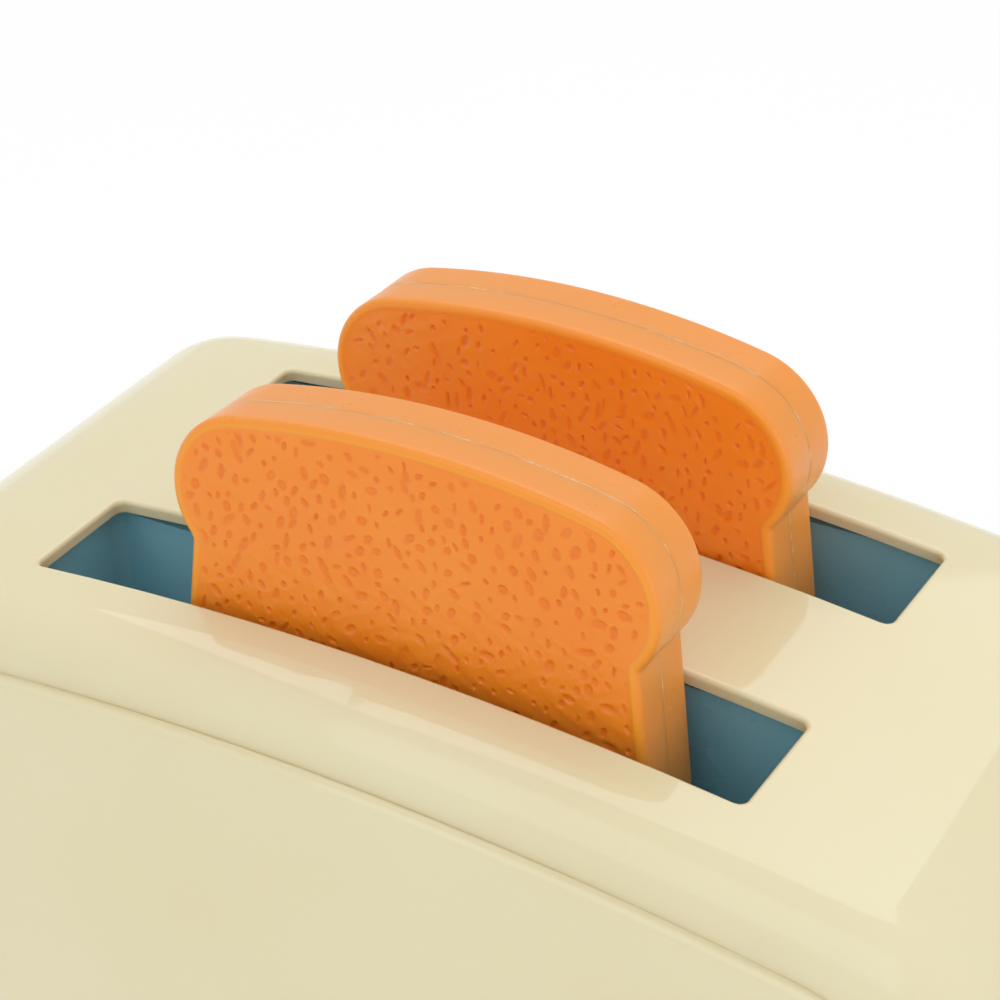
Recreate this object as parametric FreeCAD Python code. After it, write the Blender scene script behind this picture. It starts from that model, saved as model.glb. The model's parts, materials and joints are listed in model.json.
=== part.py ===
import FreeCAD, Part
import math
import os
from FreeCAD import Vector

# Toy toaster with two wells, a sprung lever carriage, a trip dial and two loose slices.
# Millimetres, +Z up. The model frame has its origin on the floor, under the middle of the overall box.
# The functions below work from the middle of the housing, and export shifts the pieces along X once.

# Housing
HOUSING_LENGTH = 211.0
HOUSING_TOP = 145.0
ARCH_RADIUS = 541.0
PLATEAU_DEPTH = 80.0
SHOULDER_RADIUS = 12.0
END_CORNER_RADIUS = 26.9
WALL = 2.2
CREASE_DROP = 8.8
PANEL_END_INSET = 9.0
PANEL_CORNER_RADIUS = 22.0
PANEL_DEPTH = 118.6
PANEL_BULGE_HEIGHT = 62.0
PANEL_UPRIGHT_RADIUS = 470.0
PANEL_PLAN_RADIUS = 2600.0
PANEL_RIM_RADIUS = 2.0

# Slots in the top
SLOT_LENGTH = 125.0
SLOT_WIDTH = 20.8
SLOT_BAR = 27.0
SLOT_CORNER = 1.5
SLOT_RIM_RADIUS = 0.8
SLOT_CENTRE_X = -2.5

# Base and feet
FOOT_HEIGHT = 3.0
FOOT_DIAMETER = 13.0
FOOT_EDGE_RADIUS = 0.75
FOOT_STUD_DIAMETER = 5.0
FOOT_CAP_DIAMETER = 7.0
FOOT_CAP_THICKNESS = 1.2
FOOT_X = 70.0
FOOT_Y = 39.0
BASE_FLOOR = 2.5
BASE_RIM = 5.0
BASE_LIP_HEIGHT = 5.0
BASE_LIP_THICKNESS = 1.8
LIP_FIT = 0.15
BASE_BOSS_DIAMETER = 11.0
BASE_BOSS_HEIGHT = 5.5
POST_DIAMETER = 8.0
POST_X = 88.0
POST_Y = 41.0

# Wells
WELL_WALL = 1.6
WELL_SIDE_MARGIN = 2.6
WELL_LEFT_MARGIN = 3.0
WELL_RIGHT_MARGIN = 0.6
WELL_DROP_LEFT = 8.3
WELL_DROP_RIGHT = 5.9
WELL_FLOOR_CLEARANCE = 1.4
WELL_CORNER = 2.0
LUG_LENGTH = 11.0
LUG_WIDTH = 11.0
LUG_THICKNESS = 2.5
LUG_HEIGHT = 127.5
LUG_SCREW_OFFSET = 5.4

# Slices
SLICE_THICKNESS = 14.1
SLICE_HEAD_HALF = 41.0
SLICE_HEAD_HEIGHT = 25.35
SLICE_CHEEK_HEIGHT = 8.7
SLICE_CHEEK_RADIUS = 13.9
SLICE_FLARE = 0.115
SLICE_HEIGHT = 76.0
SLICE_FOOT_RADIUS = 5.0
SLICE_EDGE_RADIUS = 1.1
SLICE_WAIST_RADIUS = 1.5
SLICE_WALL = 2.0
SLICE_PEG = 5.0
SLICE_PEGS = [(-26.0, 12.0), (26.0, 12.0), (-26.0, -36.0), (26.0, -36.0)]
SEAT_GAP = 0.1

# Place of each slice: X and Y of its waist, lean of its top to the back, and turn about the upright
FRONT_SLICE_X = 5.3
FRONT_SLICE_Y = -23.3
FRONT_SLICE_LEAN = 5.0
FRONT_SLICE_TURN = 1.6
BACK_SLICE_X = 3.9
BACK_SLICE_Y = 21.4
BACK_SLICE_LEAN = 2.3
BACK_SLICE_TURN = 0.2

# Carriage
TRAVEL = 22.0
FRONT_SEAT = 102.0
BACK_SEAT = 100.0
TRAY_WIDTH = 12.0
TRAY_PLATE = 2.0
TRAY_RIB = 2.2
TRAY_RIB_DEPTH = 4.0
TRAY_ARM_WIDTH = 8.0
TRAY_CORNER = 5.5
TRAY_END_GAP = 10.0
TRAY_RIGHT_GAP = 4.0
TRAY_ARM_GAP = 1.0
TRAY_BOSS_DIAMETER = 7.0
TRAY_BOSS_GAP = 0.8
TRAY_SCREW_DROP = 5.0
TRAY_HOLES = [-42.0, -24.0, -6.0, 12.0, 30.0]
TRAY_HOLE_LENGTH = 10.0
TRAY_HOLE_WIDTH = 2.4
TRAY_HOLE_Y = 3.3
WEB = 2.4
WINDOW_NEAR = 12.0
WINDOW_FAR = 19.0
WINDOW_CORNER = 2.0
WINDOW_BELOW = 6.0
WINDOW_ABOVE = 14.0
PLATE_THICKNESS = 3.0
PLATE_CORNER = 4.0
PLATE_GAP = 6.3
PLATE_HALF_WIDTH = 33.5
PLATE_LOW = 84.0
PLATE_HIGH = 118.0
ROD_DIAMETER = 3.0
ROD_X = 80.0
ROD_Y = 30.0
ROD_TOP = 128.5
BUSH_CLEARANCE = 0.05
BUSH_DIAMETER = 5.2
BUSH_LENGTH = 5.0
SLEEVE_DIAMETER = 9.0
BRIDGE_LOW = 124.0
BRIDGE_THICKNESS = 6.0
BRIDGE_WIDTH = 11.0
BRIDGE_CORNER = 5.0
BRIDGE_SCREW_Y = 13.0
SPRING_DIAMETER = 7.4
SPRING_WIRE = 0.9
SPRING_TURNS = 9
SPRING_SEAT_HEIGHT = 14.0
SPRING_END_GAP = 0.02

# Lever
LEVER_HEIGHT = 112.5
LEVER_THICKNESS = 4.4
LEVER_STEM = 6.5
LEVER_STEM_CORNER = 1.0
LEVER_SLOT_CLEARANCE = 0.8
LEVER_SLOT_END = 1.0
LEVER_FLANGE_WIDTH = 22.0
LEVER_FLANGE_HEIGHT = 10.0
LEVER_FLANGE = 2.5
LEVER_FLANGE_CORNER = 2.0
LEVER_SCREW_Y = 7.0
LEVER_REACH = 18.5
KNOB_GAP = 1.5
KNOB_WIDTH = 27.0
KNOB_THICKNESS = 12.0
KNOB_CORNER = 5.4
KNOB_POCKET_DEPTH = 9.0
KNOB_EDGE_RADIUS = 3.0
KNOB_DISH = 1.6
KNOB_DISH_RADIUS = 16.0
KNOB_DISH_OFFSET = 1.0
POCKET_FIT = 0.05

# Dial, cam and latch
DIAL_HEIGHT = 40.0
DIAL_DIAMETER = 32.0
DIAL_THICKNESS = 12.0
DIAL_GAP = 0.5
DIAL_EDGE_RADIUS = 1.5
DIAL_FLUTES = 14
DIAL_FLUTE_RADIUS = 2.2
SHAFT_DIAMETER = 6.0
SHAFT_CLEARANCE = 0.05
SHAFT_BOSS = 4.0
SHAFT_BOSS_DIAMETER = 12.0
SHAFT_GRIP = 9.0
SHAFT_TAIL = 1.5
COLLAR_DIAMETER = 9.0
COLLAR_GAP = 0.2
POINTER_WIDTH = 5.0
POINTER_RISE = 2.0
POINTER_CORNER = 2.3
POINTER_TOP_GAP = 3.0
POINTER_TAIL = 10.7
DIAL_TURN = 240.0
LATCH_LEFT = 84.6
LATCH_THICKNESS = 5.0
LATCH_GAP = 1.6
CAM_LOW_RADIUS = 6.0
CAM_GAP = 0.35
CAM_LEAD = 15.0
CAM_STEPS = 18
PIVOT_Y = -15.0
PIVOT_DROP = 14.0
PIN_DIAMETER = 3.0
PIN_HEAD_DIAMETER = 5.4
PIN_HEAD = 1.2
PIN_GAP = 0.4
HUB_DIAMETER = 8.0
LATCH_TURN = 6.5
TAIL_RADIUS = 2.0
LIP_LOW_Y = -6.0
LIP_HIGH_Y = 2.0
LIP_HEIGHT = 4.0
LIP_MARGIN = 0.6
GUSSET_RISE = 11.0
HOOK_REACH = 3.4
HOOK_CLEARANCE = 0.35
HOOK_HALF_WIDTH = 3.5
HOOK_BACK_RISE = 5.0
HOOK_THROAT = 5.0
HOOK_CROWN = 6.0
HOOK_TIP = 1.6
BRACKET_THICKNESS = 3.0
BRACKET_LOW_Y = -19.6
BRACKET_HIGH_Y = 12.0
BRACKET_TOP = 49.0
BRACKET_FOOT = 2.5
BRACKET_FOOT_LENGTH = 13.0
BRACKET_CORNER = 6.0
BRACKET_RIB_DROP = 12.0
BRACKET_SCREW_X = 6.5
BRACKET_SCREW_Y = 6.0
PAD_HEIGHT = 4.0
PAD_MARGIN = 1.0
RATCHET_TEETH = 16
RATCHET_RADIUS = 9.0
RATCHET_DEPTH = 0.9
RATCHET_THICKNESS = 2.5
CLICK_GAP = 0.35
CLICK_THICKNESS = 0.6
CLICK_LEFT = 92.4
CLICK_TOP = 50.0
CLICK_SOCKET = 7.0
CLICK_SOCKET_WALL = 1.4

# Screws
SCREW_DIAMETER = 2.6
SCREW_HEAD_DIAMETER = 5.2
SCREW_HEAD = 1.7
SCREW_HOLE = 3.0
SCREW_HEAD_CLEARANCE = 0.4
SCREW_TIP_ROOM = 1.0
BOSS_DIAMETER = 7.0
COUNTERBORE = 2.0
BASE_SCREW_LENGTH = 15.0
LUG_SCREW_LENGTH = 10.0
BRIDGE_SCREW_LENGTH = 11.0
BRACKET_SCREW_LENGTH = 8.0
TRAY_SCREW_LENGTH = 9.0
LEVER_SCREW_LENGTH = 5.0

# Worked out from the sizes above
HALF_LENGTH = HOUSING_LENGTH / 2
BAND_HALF_DEPTH = PLATEAU_DEPTH / 2 + SHOULDER_RADIUS
ARCH_CENTRE_Z = HOUSING_TOP - ARCH_RADIUS
HOUSING_LOW = FOOT_HEIGHT + BASE_RIM
FLOOR_TOP = FOOT_HEIGHT + BASE_FLOOR
INNER_END_X = HALF_LENGTH - WALL
MODEL_SHIFT_X = -LEVER_REACH / 2
SLOT_Y = (SLOT_BAR + SLOT_WIDTH) / 2
SLOT_LEFT = SLOT_CENTRE_X - SLOT_LENGTH / 2
SLOT_RIGHT = SLOT_CENTRE_X + SLOT_LENGTH / 2
WELL_LEFT = SLOT_LEFT - WELL_LEFT_MARGIN
WELL_RIGHT = SLOT_RIGHT + WELL_RIGHT_MARGIN
WELL_HALF_WIDTH = SLOT_WIDTH / 2 + WELL_SIDE_MARGIN
TRAY_LOW = min(FRONT_SEAT, BACK_SEAT) - TRAY_PLATE - TRAY_RIB_DEPTH
WELL_FLOOR_TOP = TRAY_LOW - TRAVEL - WELL_FLOOR_CLEARANCE
PLATE_X = WELL_RIGHT + WELL_WALL + PLATE_GAP
PLATE_BACK_X = PLATE_X + PLATE_THICKNESS
LATCH_RIGHT = LATCH_LEFT + LATCH_THICKNESS
PIVOT_Z = DIAL_HEIGHT - PIVOT_DROP
BRACKET_X = LATCH_LEFT - LATCH_GAP - BRACKET_THICKNESS
LIP_TOP_DOWN = PLATE_LOW + LIP_HEIGHT - TRAVEL
POST_FOOT = FOOT_HEIGHT + BASE_BOSS_HEIGHT
PAD_TOP = FLOOR_TOP + PAD_HEIGHT
BRACKET_FOOT_TOP = PAD_TOP + BRACKET_FOOT
BRACKET_FOOT_X = BRACKET_X - BRACKET_FOOT_LENGTH
CLICK_Y = RATCHET_RADIUS + CLICK_GAP + RATCHET_DEPTH
CLICK_SOCKET_TOP = FLOOR_TOP + CLICK_SOCKET
RODS = [-ROD_Y, ROD_Y]
LEVER_SCREWS = [-LEVER_SCREW_Y, LEVER_SCREW_Y]
TAIL_TIP_Y = 0.0
TAIL_TIP_Z = DIAL_HEIGHT - CAM_LOW_RADIUS - CAM_GAP - TAIL_RADIUS
TAIL_ANGLE = math.atan2(TAIL_TIP_Z - PIVOT_Z, TAIL_TIP_Y - PIVOT_Y)
TAIL_REACH = math.hypot(TAIL_TIP_Y - PIVOT_Y, TAIL_TIP_Z - PIVOT_Z)
TAIL_END_ANGLE = TAIL_ANGLE - math.radians(LATCH_TURN)
TAIL_END_Y = PIVOT_Y + TAIL_REACH * math.cos(TAIL_END_ANGLE)
TAIL_END_Z = PIVOT_Z + TAIL_REACH * math.sin(TAIL_END_ANGLE)
CAM_HIGH_RADIUS = math.hypot(TAIL_END_Y, DIAL_HEIGHT - TAIL_END_Z) - TAIL_RADIUS - CAM_GAP
CAM_RISE = CAM_HIGH_RADIUS - CAM_LOW_RADIUS
SLICES = [
    ("front_slice", FRONT_SLICE_X, FRONT_SLICE_Y, FRONT_SEAT, FRONT_SLICE_LEAN, FRONT_SLICE_TURN),
    ("back_slice", BACK_SLICE_X, BACK_SLICE_Y, BACK_SEAT, BACK_SLICE_LEAN, BACK_SLICE_TURN),
]

UP = Vector(0, 0, 1)
ALONG_X = Vector(1, 0, 0)
ALONG_Y = Vector(0, 1, 0)
BIG = 400.0

# How far a cut runs past a face, and how far joined shapes run into each other
OVER = 1.0


def block(low, high):
    size = Vector(*high) - Vector(*low)
    return Part.makeBox(size.x, size.y, size.z, Vector(*low))


def rod(diameter, start, direction, length):
    return Part.makeCylinder(diameter / 2, length, Vector(*start), direction)


def tube(outer, inner, start, direction, length):
    return rod(outer, start, direction, length).cut(rod(inner, start, direction, length))


def fused(shapes):
    whole = shapes[0].multiFuse(shapes[1:])
    return whole.removeSplitter()


def prism(corners, direction):
    # A flat shape with straight sides, given by its corners, pushed along a direction
    return Part.Face(Part.makePolygon(corners + corners[:1])).extrude(direction)


def slab(low, high):
    return block((-BIG, -BIG, low), (BIG, BIG, high))


def arc_edge(centre, radius, start, end):
    # An arc in an XZ plane, from one angle to another, in degrees from +X towards +Z
    points = []
    for angle in (start, (start + end) / 2, end):
        turn = math.radians(angle)
        points.append(centre + Vector(radius * math.cos(turn), 0, radius * math.sin(turn)))
    return Part.Arc(*points).toShape()


def line_edge(start, end):
    return Part.makeLine(start, end)


def arched_prism(inset, end_inset, drop, corner, half_depth):
    # A block with an arched top whose ends turn down through round corners
    radius = ARCH_RADIUS - drop - inset
    side = HALF_LENGTH - end_inset - inset
    turn = corner - inset
    corner_x = side - turn
    arch_centre = Vector(0, -half_depth, ARCH_CENTRE_Z)
    corner_z = ARCH_CENTRE_Z + math.sqrt((radius - turn) ** 2 - corner_x ** 2)
    lean = math.degrees(math.asin(corner_x / (radius - turn)))
    right = Vector(corner_x, -half_depth, corner_z)
    left = Vector(-corner_x, -half_depth, corner_z)
    edges = [
        arc_edge(arch_centre, radius, 90 - lean, 90 + lean),
        arc_edge(left, turn, 90 + lean, 180),
        line_edge(Vector(-side, -half_depth, corner_z), Vector(-side, -half_depth, 0)),
        line_edge(Vector(-side, -half_depth, 0), Vector(side, -half_depth, 0)),
        line_edge(Vector(side, -half_depth, 0), Vector(side, -half_depth, corner_z)),
        arc_edge(right, turn, 0, 90 - lean),
    ]
    face = Part.Face(Part.Wire(Part.sortEdges(edges)[0]))
    return face.extrude(Vector(0, 2 * half_depth, 0))


def band(inset):
    # The arched middle of the housing, with its round shoulders
    half_depth = BAND_HALF_DEPTH - inset
    solid = arched_prism(inset, 0, 0, END_CORNER_RADIUS, half_depth)
    edges = []
    for edge in solid.Edges:
        middle = edge.valueAt((edge.FirstParameter + edge.LastParameter) / 2)
        on_side = abs(abs(middle.y) - half_depth) < 0.001
        if on_side and middle.z > 0.001:
            edges.append(edge)
    return solid.makeFillet(SHOULDER_RADIUS - inset, edges)


def barrel(inset):
    # A slice of a ring that bulges to the front, both upright and in plan
    upright = PANEL_UPRIGHT_RADIUS - inset
    front = PANEL_DEPTH / 2 - inset
    centre_y = front - upright
    reach = math.degrees(math.asin(PANEL_BULGE_HEIGHT / upright)) + 1.0
    rise = math.degrees(math.asin((HOUSING_TOP - PANEL_BULGE_HEIGHT) / upright)) + 1.0
    points = []
    for angle in (-reach, (rise - reach) / 2, rise):
        turn = math.radians(angle)
        y = -centre_y - upright * math.cos(turn)
        points.append(Vector(0, y, PANEL_BULGE_HEIGHT + upright * math.sin(turn)))
    low_back = Vector(0, 0, points[0].z)
    high_back = Vector(0, 0, points[2].z)
    outline = [
        Part.Arc(*points).toShape(),
        line_edge(points[2], high_back),
        line_edge(high_back, low_back),
        line_edge(low_back, points[0]),
    ]
    face = Part.Face(Part.Wire(outline))
    axis = Vector(0, PANEL_PLAN_RADIUS - PANEL_DEPTH / 2, 0)
    sweep = 2 * math.degrees(math.asin(HALF_LENGTH / PANEL_PLAN_RADIUS)) + 1.0
    face.rotate(axis, UP, -sweep / 2)
    return face.revolve(axis, UP, sweep)


def panel(inset):
    # The bulged front panel that stands out of the band below the crease
    prism = arched_prism(inset, PANEL_END_INSET, CREASE_DROP, PANEL_CORNER_RADIUS, PANEL_DEPTH / 2 + 1)
    solid = prism.common(barrel(inset)).common(block((-BIG, -BIG, -1), (BIG, -BAND_HALF_DEPTH / 2, BIG)))
    shoulder = PANEL_RIM_RADIUS if inset == 0 else max(PANEL_RIM_RADIUS - inset, 0.5)
    edges = []
    for edge in solid.Edges:
        middle = edge.valueAt((edge.FirstParameter + edge.LastParameter) / 2)
        if middle.y < -BAND_HALF_DEPTH / 2 - 1 and middle.z > 0.001:
            ends = [vertex.Point.y for vertex in edge.Vertexes]
            if max(ends) < -BAND_HALF_DEPTH / 2 - 1:
                edges.append(edge)
    return solid.makeFillet(shoulder, edges)


def housing_form(inset):
    front = panel(inset)
    back = front.copy()
    back.rotate(Vector(0, 0, 0), UP, 180)
    return fused([band(inset), front, back])


def rounded_box(low, high, radius, direction):
    # A box whose four edges along one direction are round
    solid = block(low, high)
    edges = []
    for edge in solid.Edges:
        run = edge.Vertexes[1].Point - edge.Vertexes[0].Point
        if abs(abs(run.normalize().dot(direction)) - 1) < 1e-6:
            edges.append(edge)
    return solid.makeFillet(radius, edges)


def screw(head_point, direction, shank):
    # A round-headed screw: the head stands behind its point, and the shank runs along the direction
    back = head_point - direction * SCREW_HEAD
    head = Part.makeCylinder(SCREW_HEAD_DIAMETER / 2, SCREW_HEAD, back, direction)
    body = Part.makeCylinder(SCREW_DIAMETER / 2, shank, head_point, direction)
    return fused([head, body])


def write(name, shape):
    # Centres the overall box over the origin and writes one node
    placed = shape.copy()
    placed.translate(Vector(MODEL_SHIFT_X, 0, 0))
    placed.exportStep("parts/" + name + ".step")


def write_group(name, shapes):
    write(name, shapes[0] if len(shapes) == 1 else Part.makeCompound(shapes))


# Places that several pieces share
POSTS = [(x, y) for x in (-POST_X, POST_X) for y in (-POST_Y, POST_Y)]
WELL_MIDDLES = [-SLOT_Y, SLOT_Y]
LUG_SCREWS = []
for well_y in WELL_MIDDLES:
    LUG_SCREWS.append((WELL_LEFT - WELL_WALL - LUG_SCREW_OFFSET, well_y))
    LUG_SCREWS.append((WELL_RIGHT + WELL_WALL + LUG_SCREW_OFFSET, well_y))
TRAY_SCREWS = [(-SLOT_Y, FRONT_SEAT - TRAY_SCREW_DROP), (SLOT_Y, BACK_SEAT - TRAY_SCREW_DROP)]
BRIDGE_SCREWS = [(ROD_X, -BRIDGE_SCREW_Y), (ROD_X, BRIDGE_SCREW_Y)]
BRIDGE_TOP = BRIDGE_LOW + BRIDGE_THICKNESS
FOOT_SPOTS = [(x, y) for x in (-FOOT_X, FOOT_X) for y in (-FOOT_Y, FOOT_Y)]
BRACKET_SCREWS = []
for screw_y in (BRACKET_LOW_Y + BRACKET_SCREW_Y, BRACKET_HIGH_Y - BRACKET_SCREW_Y):
    BRACKET_SCREWS.append((BRACKET_X - BRACKET_SCREW_X, screw_y))


def slot_rims(shell):
    # The edges where the slots break through the arched top
    rims = []
    for edge in shell.Edges:
        middle = edge.valueAt((edge.FirstParameter + edge.LastParameter) / 2)
        on_arch = abs(math.hypot(middle.x, middle.z - ARCH_CENTRE_Z) - ARCH_RADIUS) < 0.01
        in_length = abs(middle.x - SLOT_CENTRE_X) < SLOT_LENGTH / 2 + 0.01
        in_width = abs(abs(middle.y) - SLOT_Y) < SLOT_WIDTH / 2 + 0.01
        if on_arch and in_length and in_width:
            rims.append(edge)
    return rims


def make_housing():
    shell = housing_form(0).cut(housing_form(WALL))
    shell = shell.common(slab(HOUSING_LOW, BIG))
    inside = housing_form(WALL / 2)
    bosses = [rod(POST_DIAMETER, (x, y, POST_FOOT), UP, HOUSING_TOP) for x, y in POSTS]
    bosses += [rod(BOSS_DIAMETER, (x, y, LUG_HEIGHT), UP, HOUSING_TOP) for x, y in LUG_SCREWS]
    bosses += [rod(BOSS_DIAMETER, (x, y, BRIDGE_TOP), UP, HOUSING_TOP) for x, y in BRIDGE_SCREWS]
    boss_start = (INNER_END_X - SHAFT_BOSS, 0, DIAL_HEIGHT)
    bosses.append(rod(SHAFT_BOSS_DIAMETER, boss_start, ALONG_X, SHAFT_BOSS + WALL))
    shell = fused([shell] + [boss.common(inside) for boss in bosses])
    for y in WELL_MIDDLES:
        low = (SLOT_LEFT, y - SLOT_WIDTH / 2, HOUSING_TOP - 4 * WALL - SLOT_LENGTH / 20)
        high = (SLOT_RIGHT, y + SLOT_WIDTH / 2, HOUSING_TOP + OVER)
        shell = shell.cut(rounded_box(low, high, SLOT_CORNER, UP))
    shell = shell.makeFillet(SLOT_RIM_RADIUS, slot_rims(shell))
    half_gap = LEVER_THICKNESS / 2 + LEVER_SLOT_CLEARANCE
    slot_low = LEVER_HEIGHT - LEVER_STEM / 2 - TRAVEL - LEVER_SLOT_END
    slot_high = LEVER_HEIGHT + LEVER_STEM / 2 + LEVER_SLOT_END
    low = (INNER_END_X - WALL, -half_gap, slot_low)
    high = (HALF_LENGTH + WALL, half_gap, slot_high)
    shell = shell.cut(rounded_box(low, high, half_gap - 0.1, ALONG_X))
    hole = SHAFT_DIAMETER + 2 * SHAFT_CLEARANCE
    hole_start = (INNER_END_X - SHAFT_BOSS - OVER, 0, DIAL_HEIGHT)
    shell = shell.cut(rod(hole, hole_start, ALONG_X, SHAFT_BOSS + WALL + 2 * OVER))
    for x, y in POSTS:
        pilot = BASE_SCREW_LENGTH - BASE_BOSS_HEIGHT + COUNTERBORE + SCREW_TIP_ROOM
        shell = shell.cut(rod(SCREW_DIAMETER, (x, y, POST_FOOT), UP, pilot))
    for x, y in LUG_SCREWS:
        pilot = LUG_SCREW_LENGTH - LUG_THICKNESS + SCREW_TIP_ROOM
        shell = shell.cut(rod(SCREW_DIAMETER, (x, y, LUG_HEIGHT), UP, pilot))
    for x, y in BRIDGE_SCREWS:
        pilot = BRIDGE_SCREW_LENGTH - BRIDGE_THICKNESS + SCREW_TIP_ROOM
        shell = shell.cut(rod(SCREW_DIAMETER, (x, y, BRIDGE_TOP), UP, pilot))
    write("housing_shell", shell)


def make_base():
    lip_inset = WALL + LIP_FIT
    rim = housing_form(0).common(slab(FOOT_HEIGHT, HOUSING_LOW))
    lip = housing_form(lip_inset).common(slab(HOUSING_LOW - OVER, HOUSING_LOW + BASE_LIP_HEIGHT))
    hollow = housing_form(lip_inset + BASE_LIP_THICKNESS).common(slab(FLOOR_TOP, BIG))
    tray = fused([rim, lip]).cut(hollow)
    bosses = [rod(BASE_BOSS_DIAMETER, (x, y, FOOT_HEIGHT), UP, POST_FOOT - FOOT_HEIGHT) for x, y in POSTS]
    bosses += [rod(SLEEVE_DIAMETER, (ROD_X, y, FOOT_HEIGHT), UP, SPRING_SEAT_HEIGHT - FOOT_HEIGHT) for y in RODS]
    pad_low = (BRACKET_FOOT_X - PAD_MARGIN, BRACKET_LOW_Y - PAD_MARGIN, FOOT_HEIGHT)
    pad_high = (BRACKET_X + BRACKET_THICKNESS + PAD_MARGIN, BRACKET_HIGH_Y + PAD_MARGIN, PAD_TOP)
    bosses.append(block(pad_low, pad_high))
    wall = CLICK_SOCKET_WALL
    socket_low = (CLICK_LEFT - wall, CLICK_Y - wall, FOOT_HEIGHT)
    socket_high = (CLICK_LEFT + RATCHET_THICKNESS + wall, CLICK_Y + CLICK_THICKNESS + wall, CLICK_SOCKET_TOP)
    bosses.append(block(socket_low, socket_high))
    tray = fused([tray] + bosses)
    for x, y in POSTS:
        sink = SCREW_HEAD_DIAMETER + 2 * SCREW_HEAD_CLEARANCE
        tray = tray.cut(rod(sink, (x, y, FOOT_HEIGHT - OVER), UP, COUNTERBORE + OVER))
        tray = tray.cut(rod(SCREW_HOLE, (x, y, FOOT_HEIGHT), UP, BASE_BOSS_HEIGHT + OVER))
    for y in RODS:
        tray = tray.cut(rod(ROD_DIAMETER, (ROD_X, y, FLOOR_TOP), UP, SPRING_SEAT_HEIGHT))
    for x, y in BRACKET_SCREWS:
        screw_end = BRACKET_FOOT_TOP - BRACKET_SCREW_LENGTH
        tray = tray.cut(rod(SCREW_DIAMETER, (x, y, screw_end), UP, BRACKET_SCREW_LENGTH))
    for x, y in FOOT_SPOTS:
        tray = tray.cut(rod(FOOT_STUD_DIAMETER, (x, y, FOOT_HEIGHT - OVER), UP, BASE_FLOOR + 2 * OVER))
    tray = tray.cut(click_leaf())
    write("base_tray", tray)


def make_feet():
    feet = []
    for x, y in FOOT_SPOTS:
        pad = rod(FOOT_DIAMETER, (x, y, 0), UP, FOOT_HEIGHT)
        edges = [edge for edge in pad.Edges if edge.Vertexes[0].Point.z < 0.001 and edge.isClosed()]
        pad = pad.makeFillet(FOOT_EDGE_RADIUS, edges)
        stud = rod(FOOT_STUD_DIAMETER, (x, y, FOOT_HEIGHT - OVER), UP, BASE_FLOOR + OVER)
        cap = rod(FOOT_CAP_DIAMETER, (x, y, FLOOR_TOP), UP, FOOT_CAP_THICKNESS)
        feet.append(fused([pad, stud, cap]))
    write_group("rubber_feet", feet)


def make_screws():
    base = [screw(Vector(x, y, FOOT_HEIGHT + COUNTERBORE), UP, BASE_SCREW_LENGTH) for x, y in POSTS]
    write_group("base_screws", base)
    low = LUG_HEIGHT - LUG_THICKNESS
    write_group("well_screws", [screw(Vector(x, y, low), UP, LUG_SCREW_LENGTH) for x, y in LUG_SCREWS])
    bridge = [screw(Vector(x, y, BRIDGE_LOW), UP, BRIDGE_SCREW_LENGTH) for x, y in BRIDGE_SCREWS]
    write_group("bridge_screws", bridge)
    bracket = [screw(Vector(x, y, BRACKET_FOOT_TOP), -UP, BRACKET_SCREW_LENGTH) for x, y in BRACKET_SCREWS]
    write_group("bracket_screws", bracket)
    tray = [screw(Vector(PLATE_BACK_X, y, z), -ALONG_X, TRAY_SCREW_LENGTH) for y, z in TRAY_SCREWS]
    write_group("tray_screws", tray)
    flange_back = PLATE_BACK_X + LEVER_FLANGE
    lever = [screw(Vector(flange_back, y, LEVER_HEIGHT), -ALONG_X, LEVER_SCREW_LENGTH) for y in LEVER_SCREWS]
    write_group("lever_screws", lever)


def make_well(name, middle, seat):
    half = WELL_HALF_WIDTH
    floor = WELL_FLOOR_TOP
    low = (WELL_LEFT - WELL_WALL, middle - half - WELL_WALL, floor - WELL_WALL)
    high = (WELL_RIGHT + WELL_WALL, middle + half + WELL_WALL, HOUSING_TOP)
    outside = rounded_box(low, high, WELL_CORNER + WELL_WALL, UP)
    inner_high = (WELL_RIGHT, middle + half, HOUSING_TOP + OVER)
    inside = rounded_box((WELL_LEFT, middle - half, floor), inner_high, WELL_CORNER, UP)
    left_top = HOUSING_TOP - WELL_DROP_LEFT
    right_top = HOUSING_TOP - WELL_DROP_RIGHT
    corners = [
        Vector(WELL_LEFT - WELL_WALL - OVER, middle - BIG / 2, left_top),
        Vector(WELL_RIGHT + WELL_WALL + OVER, middle - BIG / 2, right_top),
        Vector(WELL_RIGHT + WELL_WALL + OVER, middle - BIG / 2, BIG),
        Vector(WELL_LEFT - WELL_WALL - OVER, middle - BIG / 2, BIG),
    ]
    above = prism(corners, ALONG_Y * BIG)
    well = outside.cut(above)
    for screw_x, side in ((LUG_SCREWS[0][0], -1), (LUG_SCREWS[1][0], 1)):
        wall_x = WELL_LEFT - WELL_WALL / 2 if side < 0 else WELL_RIGHT + WELL_WALL / 2
        far_x = screw_x + side * (LUG_LENGTH - LUG_SCREW_OFFSET)
        lug_low = (min(wall_x, far_x), middle - LUG_WIDTH / 2, LUG_HEIGHT - LUG_THICKNESS)
        lug_high = (max(wall_x, far_x), middle + LUG_WIDTH / 2, LUG_HEIGHT)
        well = well.fuse(block(lug_low, lug_high))
        start = (screw_x, middle, LUG_HEIGHT - 2 * LUG_THICKNESS)
        well = well.cut(rod(SCREW_HOLE, start, UP, 3 * LUG_THICKNESS))
    well = well.cut(inside)
    gap = TRAY_ARM_WIDTH / 2 + TRAY_ARM_GAP
    slot_high = (WELL_RIGHT + WELL_WALL + OVER, middle + gap, seat + TRAY_ARM_GAP)
    well = well.cut(block((WELL_RIGHT - OVER, middle - gap, floor), slot_high))
    write(name, well.removeSplitter())


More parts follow.
